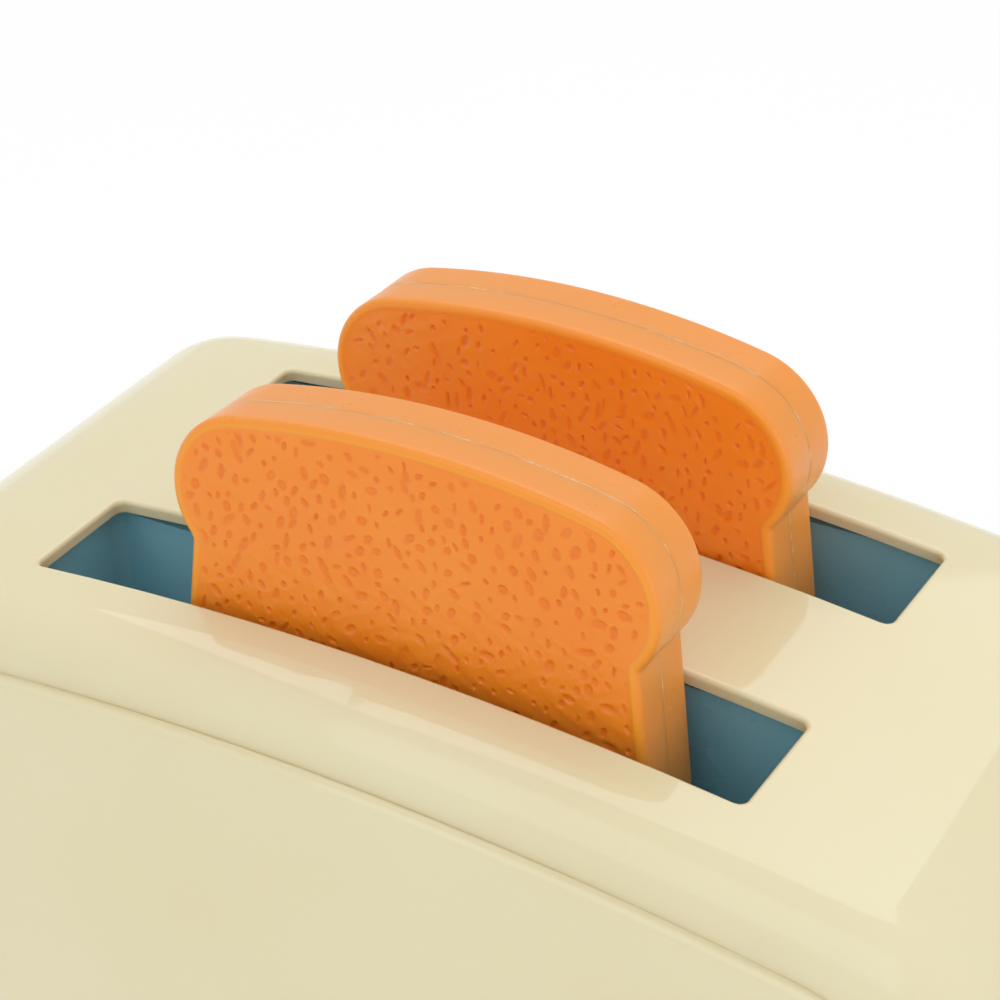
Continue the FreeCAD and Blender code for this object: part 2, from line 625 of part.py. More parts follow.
def make_tray(name, middle, seat):
    half = TRAY_WIDTH / 2
    start = SLOT_LEFT + TRAY_END_GAP
    plate_low = seat - TRAY_PLATE
    rib_low = plate_low - TRAY_RIB_DEPTH
    rest_high = (WELL_RIGHT - TRAY_RIGHT_GAP, middle + half, seat)
    rest = rounded_box((start, middle - half, plate_low), rest_high, TRAY_CORNER, UP)
    arm = block((0, middle - TRAY_ARM_WIDTH / 2, plate_low), (PLATE_X, middle + TRAY_ARM_WIDTH / 2, seat))
    rib_y = middle - TRAY_RIB / 2
    corners = [
        Vector(start + half, rib_y, plate_low),
        Vector(start + 3 * half, rib_y, rib_low),
        Vector(PLATE_X, rib_y, rib_low),
        Vector(PLATE_X, rib_y, plate_low),
    ]
    rib = prism(corners, ALONG_Y * TRAY_RIB)
    screw_z = seat - TRAY_SCREW_DROP
    boss_x = WELL_RIGHT + WELL_WALL + TRAY_BOSS_GAP
    boss = rod(TRAY_BOSS_DIAMETER, (boss_x, middle, screw_z), ALONG_X, PLATE_X - boss_x)
    tray = fused([rest, arm, rib, boss])
    hole_x = PLATE_BACK_X - TRAY_SCREW_LENGTH
    tray = tray.cut(rod(SCREW_DIAMETER, (hole_x, middle, screw_z), ALONG_X, TRAY_SCREW_LENGTH))
    slots = []
    for x in TRAY_HOLES:
        for side in (-1, 1):
            y = middle + side * TRAY_HOLE_Y
            low = (x - TRAY_HOLE_LENGTH / 2, y - TRAY_HOLE_WIDTH / 2, plate_low - OVER)
            high = (x + TRAY_HOLE_LENGTH / 2, y + TRAY_HOLE_WIDTH / 2, seat + OVER)
            slots.append(block(low, high))
    write(name, tray.cut(slots))


def make_carriage():
    plate_high = (PLATE_BACK_X, PLATE_HALF_WIDTH, PLATE_HIGH)
    plate = rounded_box((PLATE_X, -PLATE_HALF_WIDTH, PLATE_LOW), plate_high, PLATE_CORNER, ALONG_X)
    parts = [plate]
    for y in RODS:
        parts.append(rod(SLEEVE_DIAMETER, (ROD_X, y, PLATE_LOW), UP, PLATE_HIGH - PLATE_LOW))
        parts.append(block((PLATE_X + OVER, y - WEB / 2, PLATE_LOW), (ROD_X, y + WEB / 2, PLATE_HIGH)))
    lip_top = PLATE_LOW + LIP_HEIGHT
    lip_high = (LATCH_RIGHT + LIP_MARGIN, LIP_HIGH_Y, lip_top)
    parts.append(block((PLATE_X + OVER, LIP_LOW_Y, PLATE_LOW), lip_high))
    web_y = (LIP_LOW_Y + LIP_HIGH_Y - WEB) / 2
    web_x = LATCH_LEFT - LIP_MARGIN
    corners = [
        Vector(PLATE_X + OVER, web_y, PLATE_LOW + OVER),
        Vector(web_x, web_y, PLATE_LOW + OVER),
        Vector(web_x, web_y, lip_top + OVER),
        Vector(PLATE_BACK_X, web_y, lip_top + GUSSET_RISE),
        Vector(PLATE_X + OVER, web_y, lip_top + GUSSET_RISE),
    ]
    parts.append(prism(corners, ALONG_Y * WEB))
    carriage = fused(parts)
    for y in RODS:
        bore = PLATE_HIGH - PLATE_LOW + 2 * OVER
        carriage = carriage.cut(rod(BUSH_DIAMETER, (ROD_X, y, PLATE_LOW - OVER), UP, bore))
    holes = TRAY_SCREWS + [(y, LEVER_HEIGHT) for y in LEVER_SCREWS]
    for y, z in holes:
        start = (PLATE_X - OVER, y, z)
        carriage = carriage.cut(rod(SCREW_DIAMETER, start, ALONG_X, PLATE_THICKNESS + 2 * OVER))
    for side in (-1, 1):
        low = (PLATE_X - OVER, min(side * WINDOW_NEAR, side * WINDOW_FAR), PLATE_LOW + WINDOW_BELOW)
        high = (PLATE_BACK_X + OVER, max(side * WINDOW_NEAR, side * WINDOW_FAR), PLATE_HIGH - WINDOW_ABOVE)
        carriage = carriage.cut(rounded_box(low, high, WINDOW_CORNER, ALONG_X))
    write("carriage_plate", carriage)


def make_guides():
    bushes = []
    buffers = []
    hole = ROD_DIAMETER + 2 * BUSH_CLEARANCE
    for name, y in (("front_guide_rod", RODS[0]), ("back_guide_rod", RODS[1])):
        write(name, rod(ROD_DIAMETER, (ROD_X, y, FLOOR_TOP), UP, ROD_TOP - FLOOR_TOP))
        for z in (PLATE_LOW, PLATE_HIGH - BUSH_LENGTH):
            bushes.append(tube(BUSH_DIAMETER, hole, (ROD_X, y, z), UP, BUSH_LENGTH))
        buffers.append(tube(SLEEVE_DIAMETER, hole, (ROD_X, y, PLATE_HIGH), UP, BRIDGE_LOW - PLATE_HIGH))
    write_group("rod_bushes", bushes)
    write_group("stop_buffers", buffers)
    reach = ROD_Y + BRIDGE_WIDTH / 2
    low = (ROD_X - BRIDGE_WIDTH / 2, -reach, BRIDGE_LOW)
    high = (ROD_X + BRIDGE_WIDTH / 2, reach, BRIDGE_TOP)
    bridge = rounded_box(low, high, BRIDGE_CORNER, UP)
    for y in RODS:
        start = (ROD_X, y, BRIDGE_LOW - OVER)
        bridge = bridge.cut(rod(ROD_DIAMETER, start, UP, ROD_TOP - BRIDGE_LOW + OVER))
    for x, y in BRIDGE_SCREWS:
        bridge = bridge.cut(rod(SCREW_HOLE, (x, y, BRIDGE_LOW - OVER), UP, BRIDGE_THICKNESS + 2 * OVER))
    write("rod_bridge", bridge)


def arc_between(start, corner, end):
    # The arc from start to end whose tangents there meet in the corner
    weight = (end - start).Length / 2 / (corner - start).Length
    middle = (start + corner * (2 * weight) + end) * (1 / (2 + 2 * weight))
    return Part.Arc(start, middle, end).toShape()


def spring_path(radius, low, high, turns):
    # A helix as pairs of arcs, two to each quarter turn
    pitch = (high - low) / turns
    slope = pitch / (2 * math.pi)
    edges = []
    points = []
    for step in range(4 * turns + 1):
        angle = step * math.pi / 2
        place = Vector(radius * math.cos(angle), radius * math.sin(angle), low + slope * angle)
        tangent = Vector(-radius * math.sin(angle), radius * math.cos(angle), slope).normalize()
        points.append((place, tangent))
    for (start, leave), (end, arrive) in zip(points, points[1:]):
        across = end - start
        both = leave + arrive
        spread = 2 * (1 - leave.dot(arrive))
        lead = across.dot(both)
        reach = (-lead + math.sqrt(lead ** 2 + spread * across.dot(across))) / spread
        meet = (start + leave * reach + end - arrive * reach) * 0.5
        edges.append(arc_between(start, start + leave * reach, meet))
        edges.append(arc_between(meet, end - arrive * reach, end))
    return edges, points, pitch


def make_springs():
    radius = (SPRING_DIAMETER - SPRING_WIRE) / 2
    low = SPRING_SEAT_HEIGHT + SPRING_WIRE / 2 + SPRING_END_GAP
    high = PLATE_LOW - SPRING_WIRE / 2 - SPRING_END_GAP
    edges, points, pitch = spring_path(radius, low, high, SPRING_TURNS)
    path = Part.Wire(edges)
    start, tangent = points[0]
    section = Part.Wire(Part.makeCircle(SPRING_WIRE / 2, start, tangent))
    coil = path.makePipeShell([section], True, False)
    print("spring: least gap between turns", round(pitch - SPRING_WIRE, 2), "mm")
    for name, y in (("front_return_spring", RODS[0]), ("back_return_spring", RODS[1])):
        spring = coil.copy()
        spring.translate(Vector(ROD_X, y, 0))
        write(name, spring)


def make_lever():
    half_stem = LEVER_STEM / 2
    half_flange = LEVER_FLANGE_HEIGHT / 2
    flange_low = (PLATE_BACK_X, -LEVER_FLANGE_WIDTH / 2, LEVER_HEIGHT - half_flange)
    flange_high = (PLATE_BACK_X + LEVER_FLANGE, LEVER_FLANGE_WIDTH / 2, LEVER_HEIGHT + half_flange)
    flange = rounded_box(flange_low, flange_high, LEVER_FLANGE_CORNER, ALONG_X)
    tip = HALF_LENGTH + KNOB_GAP + KNOB_POCKET_DEPTH
    stem_low = (PLATE_BACK_X + OVER, -LEVER_THICKNESS / 2, LEVER_HEIGHT - half_stem)
    stem_high = (tip, LEVER_THICKNESS / 2, LEVER_HEIGHT + half_stem)
    stem = rounded_box(stem_low, stem_high, LEVER_STEM_CORNER, ALONG_X)
    arm = fused([flange, stem])
    for y in LEVER_SCREWS:
        start = (PLATE_BACK_X - OVER, y, LEVER_HEIGHT)
        arm = arm.cut(rod(SCREW_DIAMETER, start, ALONG_X, LEVER_FLANGE + 2 * OVER))
    write("lever_arm", arm)
    near = HALF_LENGTH + KNOB_GAP
    far = HALF_LENGTH + LEVER_REACH
    low = (near, -KNOB_WIDTH / 2, LEVER_HEIGHT - KNOB_THICKNESS / 2)
    high = (far, KNOB_WIDTH / 2, LEVER_HEIGHT + KNOB_THICKNESS / 2)
    knob = rounded_box(low, high, KNOB_CORNER, UP)
    rims = [edge for edge in knob.Edges if abs(edge.Vertexes[0].Point.z - edge.Vertexes[-1].Point.z) < 0.001]
    knob = knob.makeFillet(KNOB_EDGE_RADIUS, rims)
    dish_z = LEVER_HEIGHT + KNOB_THICKNESS / 2 - KNOB_DISH + KNOB_DISH_RADIUS
    dish_x = (near + far) / 2 + KNOB_DISH_OFFSET
    knob = knob.cut(rod(2 * KNOB_DISH_RADIUS, (dish_x, -KNOB_WIDTH, dish_z), ALONG_Y, 2 * KNOB_WIDTH))
    pocket_low = (near - OVER, -LEVER_THICKNESS / 2 - POCKET_FIT, LEVER_HEIGHT - half_stem - POCKET_FIT)
    pocket = block(pocket_low, (tip, LEVER_THICKNESS / 2 + POCKET_FIT, LEVER_HEIGHT + half_stem + POCKET_FIT))
    write("lever_knob", knob.cut(pocket))


def make_dial():
    near = HALF_LENGTH + DIAL_GAP
    far = near + DIAL_THICKNESS
    centre = (near, 0, DIAL_HEIGHT)
    dial = rod(DIAL_DIAMETER, centre, ALONG_X, DIAL_THICKNESS)
    rims = [edge for edge in dial.Edges if edge.isClosed() and edge.Vertexes[0].Point.x > far - 0.001]
    dial = dial.makeFillet(DIAL_EDGE_RADIUS, rims)
    flutes = []
    for index in range(DIAL_FLUTES):
        angle = 2 * math.pi * (index + 0.5) / DIAL_FLUTES
        reach = DIAL_DIAMETER / 2 + DIAL_FLUTE_RADIUS / 2
        spot = (near - OVER, reach * math.sin(angle), DIAL_HEIGHT + reach * math.cos(angle))
        flutes.append(rod(2 * DIAL_FLUTE_RADIUS, spot, ALONG_X, DIAL_THICKNESS + 2 * OVER))
    dial = dial.cut(flutes)
    pointer_low = (far - OVER, -POINTER_WIDTH / 2, DIAL_HEIGHT - POINTER_TAIL)
    pointer_top = DIAL_HEIGHT + DIAL_DIAMETER / 2 - POINTER_TOP_GAP
    pointer_high = (far + POINTER_RISE, POINTER_WIDTH / 2, pointer_top)
    pointer = rounded_box(pointer_low, pointer_high, POINTER_CORNER, ALONG_X)
    dial = fused([dial, pointer])
    shaft_end = near + SHAFT_GRIP
    dial = dial.cut(rod(SHAFT_DIAMETER, (near - OVER, 0, DIAL_HEIGHT), ALONG_X, SHAFT_GRIP + OVER))
    write("trip_dial", dial)
    shaft_start = BRACKET_X - SHAFT_TAIL
    shaft = rod(SHAFT_DIAMETER, (shaft_start, 0, DIAL_HEIGHT), ALONG_X, shaft_end - shaft_start)
    collar_x = LATCH_RIGHT + COLLAR_GAP
    collar = rod(COLLAR_DIAMETER, (collar_x, 0, DIAL_HEIGHT), ALONG_X, CLICK_LEFT - collar_x)
    write("dial_shaft", fused([shaft, collar]))
    wheel = rod(2 * RATCHET_RADIUS, (CLICK_LEFT, 0, DIAL_HEIGHT), ALONG_X, RATCHET_THICKNESS)
    notches = []
    for index in range(RATCHET_TEETH):
        angle = 2 * math.pi * index / RATCHET_TEETH
        rim_y = RATCHET_RADIUS * math.cos(angle)
        spot = (CLICK_LEFT - OVER, rim_y, DIAL_HEIGHT + RATCHET_RADIUS * math.sin(angle))
        notches.append(rod(2 * RATCHET_DEPTH, spot, ALONG_X, RATCHET_THICKNESS + 2 * OVER))
    wheel = wheel.cut(notches)
    bore = rod(SHAFT_DIAMETER, (CLICK_LEFT - OVER, 0, DIAL_HEIGHT), ALONG_X, RATCHET_THICKNESS + 2 * OVER)
    write("click_wheel", wheel.cut(bore))


def make_cam():
    # A spiral: the side that faces down at rest is lowest, and rises as the dial turns
    spots = []
    for step in range(CAM_STEPS + 1):
        turn = -CAM_LEAD + (DIAL_TURN + 2 * CAM_LEAD) * step / CAM_STEPS
        radius = CAM_LOW_RADIUS + CAM_RISE * turn / DIAL_TURN
        angle = math.radians(-90 - turn)
        spots.append(Vector(LATCH_LEFT, radius * math.cos(angle), DIAL_HEIGHT + radius * math.sin(angle)))
    curve = Part.BSplineCurve()
    curve.interpolate(spots)
    outline = Part.Wire([curve.toShape(), line_edge(spots[-1], spots[0])])
    cam = Part.Face(outline).extrude(Vector(LATCH_THICKNESS, 0, 0))
    core = rod(COLLAR_DIAMETER, (LATCH_LEFT, 0, DIAL_HEIGHT), ALONG_X, LATCH_THICKNESS)
    cam = fused([cam, core])
    bore = rod(SHAFT_DIAMETER, (LATCH_LEFT - OVER, 0, DIAL_HEIGHT), ALONG_X, LATCH_THICKNESS + 2 * OVER)
    write("trip_cam", cam.cut(bore))


def bar(start, end, radius):
    # A flat bar with round ends in the latch's plane, between two points of Y and Z
    run = Vector(0, end[0] - start[0], end[1] - start[1])
    flat = block((LATCH_LEFT, -radius, 0), (LATCH_RIGHT, radius, run.Length))
    angle = math.degrees(math.atan2(-run.y, run.z))
    flat.rotate(Vector(0, 0, 0), ALONG_X, angle)
    flat.translate(Vector(0, start[0], start[1]))
    ends = [rod(2 * radius, (LATCH_LEFT, y, z), ALONG_X, LATCH_THICKNESS) for y, z in (start, end)]
    return fused([flat] + ends)


def make_latch():
    hub = rod(HUB_DIAMETER, (LATCH_LEFT, PIVOT_Y, PIVOT_Z), ALONG_X, LATCH_THICKNESS)
    under = LIP_TOP_DOWN + HOOK_CLEARANCE
    tip_y = LIP_LOW_Y + HOOK_REACH
    throat_y = PIVOT_Y + HOOK_THROAT
    outline = [
        (PIVOT_Y - HOOK_HALF_WIDTH, PIVOT_Z),
        (PIVOT_Y, under + HOOK_BACK_RISE),
        (throat_y, under + HOOK_CROWN),
        (tip_y, under + HOOK_TIP),
        (tip_y, under),
        (throat_y, under),
        (throat_y - OVER, under - HOOK_CROWN),
        (PIVOT_Y + HOOK_HALF_WIDTH, PIVOT_Z),
    ]
    corners = [Vector(LATCH_LEFT, y, z) for y, z in outline]
    hook = prism(corners, ALONG_X * LATCH_THICKNESS)
    hook.rotate(Vector(0, PIVOT_Y, PIVOT_Z), ALONG_X, LATCH_TURN)
    tail = bar((PIVOT_Y, PIVOT_Z), (TAIL_TIP_Y, TAIL_TIP_Z), TAIL_RADIUS)
    latch = fused([hook, hub, tail])
    hole = PIN_DIAMETER + 2 * SHAFT_CLEARANCE
    latch = latch.cut(rod(hole, (LATCH_LEFT - OVER, PIVOT_Y, PIVOT_Z), ALONG_X, LATCH_THICKNESS + 2 * OVER))
    write("latch_hook", latch)
    head_x = LATCH_RIGHT + PIN_GAP
    pin = rod(PIN_DIAMETER, (BRACKET_X, PIVOT_Y, PIVOT_Z), ALONG_X, head_x - BRACKET_X)
    head = rod(PIN_HEAD_DIAMETER, (head_x, PIVOT_Y, PIVOT_Z), ALONG_X, PIN_HEAD)
    write("latch_pin", fused([pin, head]))


def make_bracket():
    wall_low = (BRACKET_X, BRACKET_LOW_Y, PAD_TOP)
    wall_high = (BRACKET_X + BRACKET_THICKNESS, BRACKET_HIGH_Y, BRACKET_TOP)
    wall = block(wall_low, wall_high)
    tops = []
    for edge in wall.Edges:
        ends = [vertex.Point for vertex in edge.Vertexes]
        if all(point.z > BRACKET_TOP - 0.001 for point in ends) and abs(ends[0].x - ends[1].x) > 0.001:
            tops.append(edge)
    wall = wall.makeFillet(BRACKET_CORNER, tops)
    foot_high = (BRACKET_X + OVER, BRACKET_HIGH_Y, BRACKET_FOOT_TOP)
    foot = block((BRACKET_FOOT_X, BRACKET_LOW_Y, PAD_TOP), foot_high)
    parts = [wall, foot]
    for y in (BRACKET_LOW_Y, BRACKET_HIGH_Y - WEB):
        corners = [
            Vector(BRACKET_FOOT_X, y, BRACKET_FOOT_TOP - OVER),
            Vector(BRACKET_X + OVER, y, BRACKET_FOOT_TOP - OVER),
            Vector(BRACKET_X + OVER, y, BRACKET_TOP - BRACKET_RIB_DROP),
            Vector(BRACKET_X, y, BRACKET_TOP - BRACKET_RIB_DROP),
            Vector(BRACKET_FOOT_X, y, BRACKET_FOOT_TOP),
        ]
        parts.append(prism(corners, ALONG_Y * WEB))
    bracket = fused(parts)
    hole = SHAFT_DIAMETER + 2 * SHAFT_CLEARANCE
    depth = BRACKET_THICKNESS + 2 * OVER
    bracket = bracket.cut(rod(hole, (BRACKET_X - OVER, 0, DIAL_HEIGHT), ALONG_X, depth))
    bracket = bracket.cut(rod(PIN_DIAMETER, (BRACKET_X - OVER, PIVOT_Y, PIVOT_Z), ALONG_X, depth))
    for x, y in BRACKET_SCREWS:
        bracket = bracket.cut(rod(SCREW_HOLE, (x, y, PAD_TOP - OVER), UP, BRACKET_FOOT + 2 * OVER))
    write("latch_bracket", bracket)


def click_leaf():
    # A steel strip that stands in the base, with a nose beside the wheel's notches
    strip_high = (CLICK_LEFT + RATCHET_THICKNESS, CLICK_Y + CLICK_THICKNESS, CLICK_TOP)
    strip = block((CLICK_LEFT, CLICK_Y, FLOOR_TOP), strip_high)
    nose = rod(2 * RATCHET_DEPTH, (CLICK_LEFT, CLICK_Y, DIAL_HEIGHT), ALONG_X, RATCHET_THICKNESS)
    return fused([strip, nose])


def slice_outline(inset, y):
    # Bread seen from the front: a foot with round corners, a flared side, a waist and a domed head
    head = SLICE_HEAD_HALF - inset
    cheek = SLICE_CHEEK_RADIUS - inset
    top = SLICE_HEAD_HEIGHT - inset
    foot = SLICE_HEAD_HEIGHT - SLICE_HEIGHT + inset
    corner = SLICE_FOOT_RADIUS - inset
    cheek_x = head - cheek
    rise = top - SLICE_CHEEK_HEIGHT
    crown = (cheek_x ** 2 + rise ** 2 - cheek ** 2) / (2 * (rise - cheek))
    crown_angle = math.degrees(math.atan2(SLICE_CHEEK_HEIGHT - top + crown, cheek_x))
    low_angle = -math.degrees(math.asin(SLICE_CHEEK_HEIGHT / cheek))
    waist = cheek_x + cheek * math.cos(math.radians(low_angle))
    flare_z = -(head - waist) / SLICE_FLARE
    right_cheek = Vector(cheek_x, y, SLICE_CHEEK_HEIGHT)
    left_cheek = Vector(-cheek_x, y, SLICE_CHEEK_HEIGHT)
    edges = [
        arc_edge(Vector(0, y, top - crown), crown, crown_angle, 180 - crown_angle),
        arc_edge(right_cheek, cheek, low_angle, crown_angle),
        arc_edge(left_cheek, cheek, 180 - crown_angle, 180 - low_angle),
        line_edge(Vector(head - corner, y, foot), Vector(corner - head, y, foot)),
    ]
    for side in (-1, 1):
        edges.append(line_edge(Vector(side * waist, y, 0), Vector(side * head, y, flare_z)))
        edges.append(line_edge(Vector(side * head, y, flare_z), Vector(side * head, y, foot + corner)))
    edges.append(arc_edge(Vector(head - corner, y, foot + corner), corner, -90, 0))
    edges.append(arc_edge(Vector(corner - head, y, foot + corner), corner, 180, 270))
    return Part.Face(Part.Wire(Part.sortEdges(edges)[0]))


def slice_half():
    # The front half, hollow from its seam, with four pegs that meet those of the other half
    half = SLICE_THICKNESS / 2
    solid = slice_outline(0, -half).extrude(Vector(0, half, 0))
    waists = []
    for edge in solid.Edges:
        ends = [vertex.Point for vertex in edge.Vertexes]
        if all(abs(point.z) < 0.001 for point in ends) and abs(ends[0].y - ends[-1].y) > 1:
            waists.append(edge)
    solid = solid.makeFillet(SLICE_WAIST_RADIUS, waists)
    rims = []
    for edge in solid.Edges:
        if all(abs(vertex.Point.y + half) < 0.001 for vertex in edge.Vertexes):
            rims.append(edge)
    solid = solid.makeFillet(SLICE_EDGE_RADIUS, rims)
    hollow = slice_outline(SLICE_WALL, SLICE_WALL - half).extrude(Vector(0, half, 0))
    solid = solid.cut(hollow)
    pegs = [rod(SLICE_PEG, (x, OVER - half, z), ALONG_Y, half - OVER) for x, z in SLICE_PEGS]
    return fused([solid] + pegs)


def make_slices():
    front_half = slice_half()
    back_half = front_half.copy()
    back_half.rotate(Vector(0, 0, 0), UP, 180)
    for name, x, y, seat, lean, turn in SLICES:
        tilt = math.radians(lean)
        foot = SLICE_HEIGHT - SLICE_HEAD_HEIGHT - SLICE_EDGE_RADIUS
        edge = SLICE_THICKNESS / 2 - SLICE_EDGE_RADIUS
        waist_z = seat + SEAT_GAP + SLICE_EDGE_RADIUS + foot * math.cos(tilt) + edge * math.sin(tilt)
        for side, half in (("front_half", front_half), ("back_half", back_half)):
            placed = half.copy()
            placed.rotate(Vector(0, 0, 0), ALONG_X, -lean)
            placed.rotate(Vector(0, 0, 0), UP, turn)
            placed.translate(Vector(x + SLOT_CENTRE_X, y, waist_z))
            write(name + "_" + side, placed)
        way = Vector(0, math.sin(tilt), math.cos(tilt))
        aim = math.radians(turn)
        out = (-way.y * math.sin(aim), way.y * math.cos(aim), way.z)
        print(name, "slides out along", [round(value, 5) for value in out])


os.makedirs("parts", exist_ok=True)
make_housing()
make_base()
make_feet()
make_screws()
make_well("front_well", -SLOT_Y, FRONT_SEAT)
make_well("back_well", SLOT_Y, BACK_SEAT)
make_tray("front_toast_tray", -SLOT_Y, FRONT_SEAT)
make_tray("back_toast_tray", SLOT_Y, BACK_SEAT)
make_carriage()
make_guides()
make_springs()
make_lever()
make_dial()
make_cam()
make_latch()
make_bracket()
write("click_spring", click_leaf())
make_slices()
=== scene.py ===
import json
import math

import bmesh
import bpy
import numpy as np
from mathutils import Matrix, Vector
from mathutils.geometry import delaunay_2d_cdt


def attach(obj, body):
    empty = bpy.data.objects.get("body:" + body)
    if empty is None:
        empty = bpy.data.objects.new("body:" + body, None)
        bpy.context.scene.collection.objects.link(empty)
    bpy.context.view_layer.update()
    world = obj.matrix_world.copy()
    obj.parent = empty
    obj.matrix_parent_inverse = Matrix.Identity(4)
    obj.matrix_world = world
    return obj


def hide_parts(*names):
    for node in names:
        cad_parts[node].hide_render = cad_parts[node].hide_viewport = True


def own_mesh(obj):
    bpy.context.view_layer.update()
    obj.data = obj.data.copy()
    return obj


# Toy toaster with two loose slices. The scene is in metres; the slices' own sizes are in millimetres.

MM = 0.001

# Camera, fitted to the slots and the slices' outlines in the photograph. The focus is in pixels
CAMERA_PLACE = (0.17740, -0.28599, 0.37480)
CAMERA_RIGHT = (0.851552, 0.522717, -0.040327)
CAMERA_DOWN = (0.256286, -0.482147, -0.837766)
CAMERA_FOCUS = 2653.04
CAMERA_NEAR = 0.01
CAMERA_FAR = 50.0
IMAGE_WIDTH = 1000
SENSOR_WIDTH = 36.0

# Outline of a slice, as the solids have it; the head is measured from the waist
THICKNESS = 14.1
HEAD_HALF = 41.0
HEAD_HEIGHT = 25.35
CHEEK_HEIGHT = 8.7
CHEEK_RADIUS = 13.9
FLARE = 0.115
FLARE_START = 0.12
SIDE_STOP = 2.0
HEIGHT = 76.0
FOOT_RADIUS = 5.0
WAIST_RADIUS = 1.5
WAIST_SEARCH = 6.0
HALVINGS = 40
OUTLINE_STEP = 0.5

# Section of a slice from the seam to the border. Each border ring has its share of the border's width,
# its share of the step down to the crumb, and how much of the border's colour it takes
EDGE_RADIUS = 1.1
BORDER_WIDTH = 1.75
BORDER_STEP = 0.16
BORDER_RINGS = ((0.15, 0.0, 1.0), (0.45, 0.1, 0.9), (0.7, 0.5, 0.7), (0.9, 0.9, 0.4), (1.1, 1.0, 0.0))
SIDE_RINGS = 5
EDGE_RINGS = 6
SKIN_GAP = 0.02
SEAM_DEPTH = 0.04
SEAM_HALF = 0.06
SEAM_LIP = 0.5
FLASH_RISE = 0.08
FLASH_FOOT = 0.03
FLASH_SHOULDER = 0.7
FLASH_STRETCHES = 34
FLASH_REACH = (1.5, 7.0)
FLASH_PEAK = 1.2
FLASH_LEVEL = (0.25, 1.0)

# Pits of the crumb. A reach is 1 on a pit's outline; a ring has its reach and its number of vertices
PIT_SPACING = 2.45
PIT_SPREAD = (0.65, 1.35)
PIT_TRIES = 6000
PIT_RADIUS = (0.34, 0.8)
PIT_RADIUS_SKEW = 1.5
PIT_STRETCH = (1.0, 1.9)
PIT_TURN_MEAN = 1.5
PIT_TURN_SPREAD = 0.6
PIT_DEPTH = (0.12, 0.3)
PIT_WAVE = (0.05, 0.3)
PIT_PHASE = (0, 6.28)
PIT_ZONE = 3.0
PIT_CLEAR = 1.45
RIM_REACH = 1.28
RIM_WIDTH = 0.2
RIM_HEIGHT = 0.06
PIT_RINGS = ((0.01, 1), (0.55, 7), (0.82, 11), (1.0, 12), (RIM_REACH, 13))
WALL_REACH = 1.12
WALL_WIDTH = 0.5
# Painted shade in the pits: where it ends, the width of its fade, its share in the middle and its gain
# towards the outline
PIT_SHADE_REACH = 1.15
PIT_SHADE_WIDTH = 0.2
PIT_SHADE_MIDDLE = 0.55
PIT_SHADE_GAIN = 0.45
SHALLOW = 0.01

# Slow swell of the face: height, waves across and their bend, then waves upward and their bend
SWELLS = ((0.06, 0.9, 2, 0.55, 1.3, 1, 0.5), (0.03, 2.3, 3, 0.7, 2.1, 2, 0.8))

# Mesh of the face, and where its relief begins inside the border
FACE_STEP = 0.45
SAME_PLACE = 0.12
FADE_START = 0.15
FADE_WIDTH = 0.7
KEEP_INSIDE = 1
MERGE_DISTANCE = 1e-5

# Where the slices stand, from the middle between the slots
SLOT_ORIGIN = Vector((-11.75, 0.0, 0.0))
SLICES = {
    "front_slice": {"x": 5.3, "y": -23.3, "seat": 102.1, "lean": 5.0, "turn": 1.6, "seed": 11},
    "back_slice": {"x": 3.9, "y": 21.4, "seat": 100.1, "lean": 2.3, "turn": 0.2, "seed": 31},
}
HALVES = {"front_half": 0.0, "back_half": math.pi}
WELLS = ("front_well", "back_well")
SPRINGS = ("front_return_spring", "back_return_spring")

# Light: the world's strength, the share of plain white that the camera sees in the floor, and the lamps
FILL_STRENGTH = 0.77
FLOOR_WHITE = 0.76
FLOOR_HALF = 4.0
LAMP_TARGET = (0, 0, 0.12)
LAMPS = {
    "key_softbox": {"place": (0.0, -0.75, 1.05), "width": 1.3, "height": 0.8, "power": 2.0},
    "top_softbox": {"place": (-0.25, 0.45, 1.0), "width": 1.0, "height": 0.7, "power": 2.5},
    "right_softbox": {"place": (1.0, -0.3, 0.35), "width": 0.6, "height": 0.6, "power": 1.6},
}


def linear(red, green, blue):
    # A colour as it looks on a screen, from 0 to 255, as the light values that a shader takes
    values = []
    for part in (red, green, blue):
        share = part / 255
        values.append(share / 12.92 if share <= 0.04045 else ((share + 0.055) / 1.055) ** 2.4)
    return (*values, 1.0)


def grey(value):
    return (value, value, value, 1.0)


CREAM = linear(229, 220, 184)
CREAM_DEEP = linear(227, 217, 177)
# Darker cream for the painted shade in the housing's crease
CREAM_PAINTED_CREASE_SHADE = linear(196, 176, 118)
ORANGE = linear(246, 148, 44)
ORANGE_DEEP = linear(245, 136, 28)
# Deeper orange for the painted shade in the pits
ORANGE_PIT_SHADE = linear(236, 114, 18)
ORANGE_BORDER = linear(245, 157, 40)
# Paler orange for the painted sheen on the side
ORANGE_SIDE_SHEEN = linear(237, 151, 62)
ORANGE_SEAM = linear(232, 142, 72)
ORANGE_FLASH = linear(254, 224, 184)
TEAL = linear(104, 164, 186)
TEAL_DEEP = linear(96, 156, 178)
# Paler teal for the wells: painted light against the shade in the slots
TEAL_WELL_PAINTED_LIGHT = linear(150, 212, 230)
TEAL_WELL_PAINTED_LIGHT_DEEP = linear(142, 204, 224)
WHITE = linear(226, 226, 220)
WHITE_DEEP = linear(216, 216, 208)

# Noise values at which an uneven colour or gloss begins and ends its change
UNEVEN_START = 0.3
UNEVEN_END = 0.7
UNEVEN_WIDE_END = 0.75

# Moulded plastic: waves to the metre of its colour and gloss, and how far the gloss varies
TONE_SCALE = 18.0
GLOSS_SCALE = 60.0
GLOSS_LOW = 0.85
GLOSS_HIGH = 1.2

# Painted shade in the crease of the housing: the reach within which the surface counts as closed in, the
# samples, and how open the surface is at each end of the change
CREASE_REACH = 0.007
CREASE_SAMPLES = 12
CREASE_DARKEST = 0.55
CREASE_OPEN = 0.98


# Slice geometry

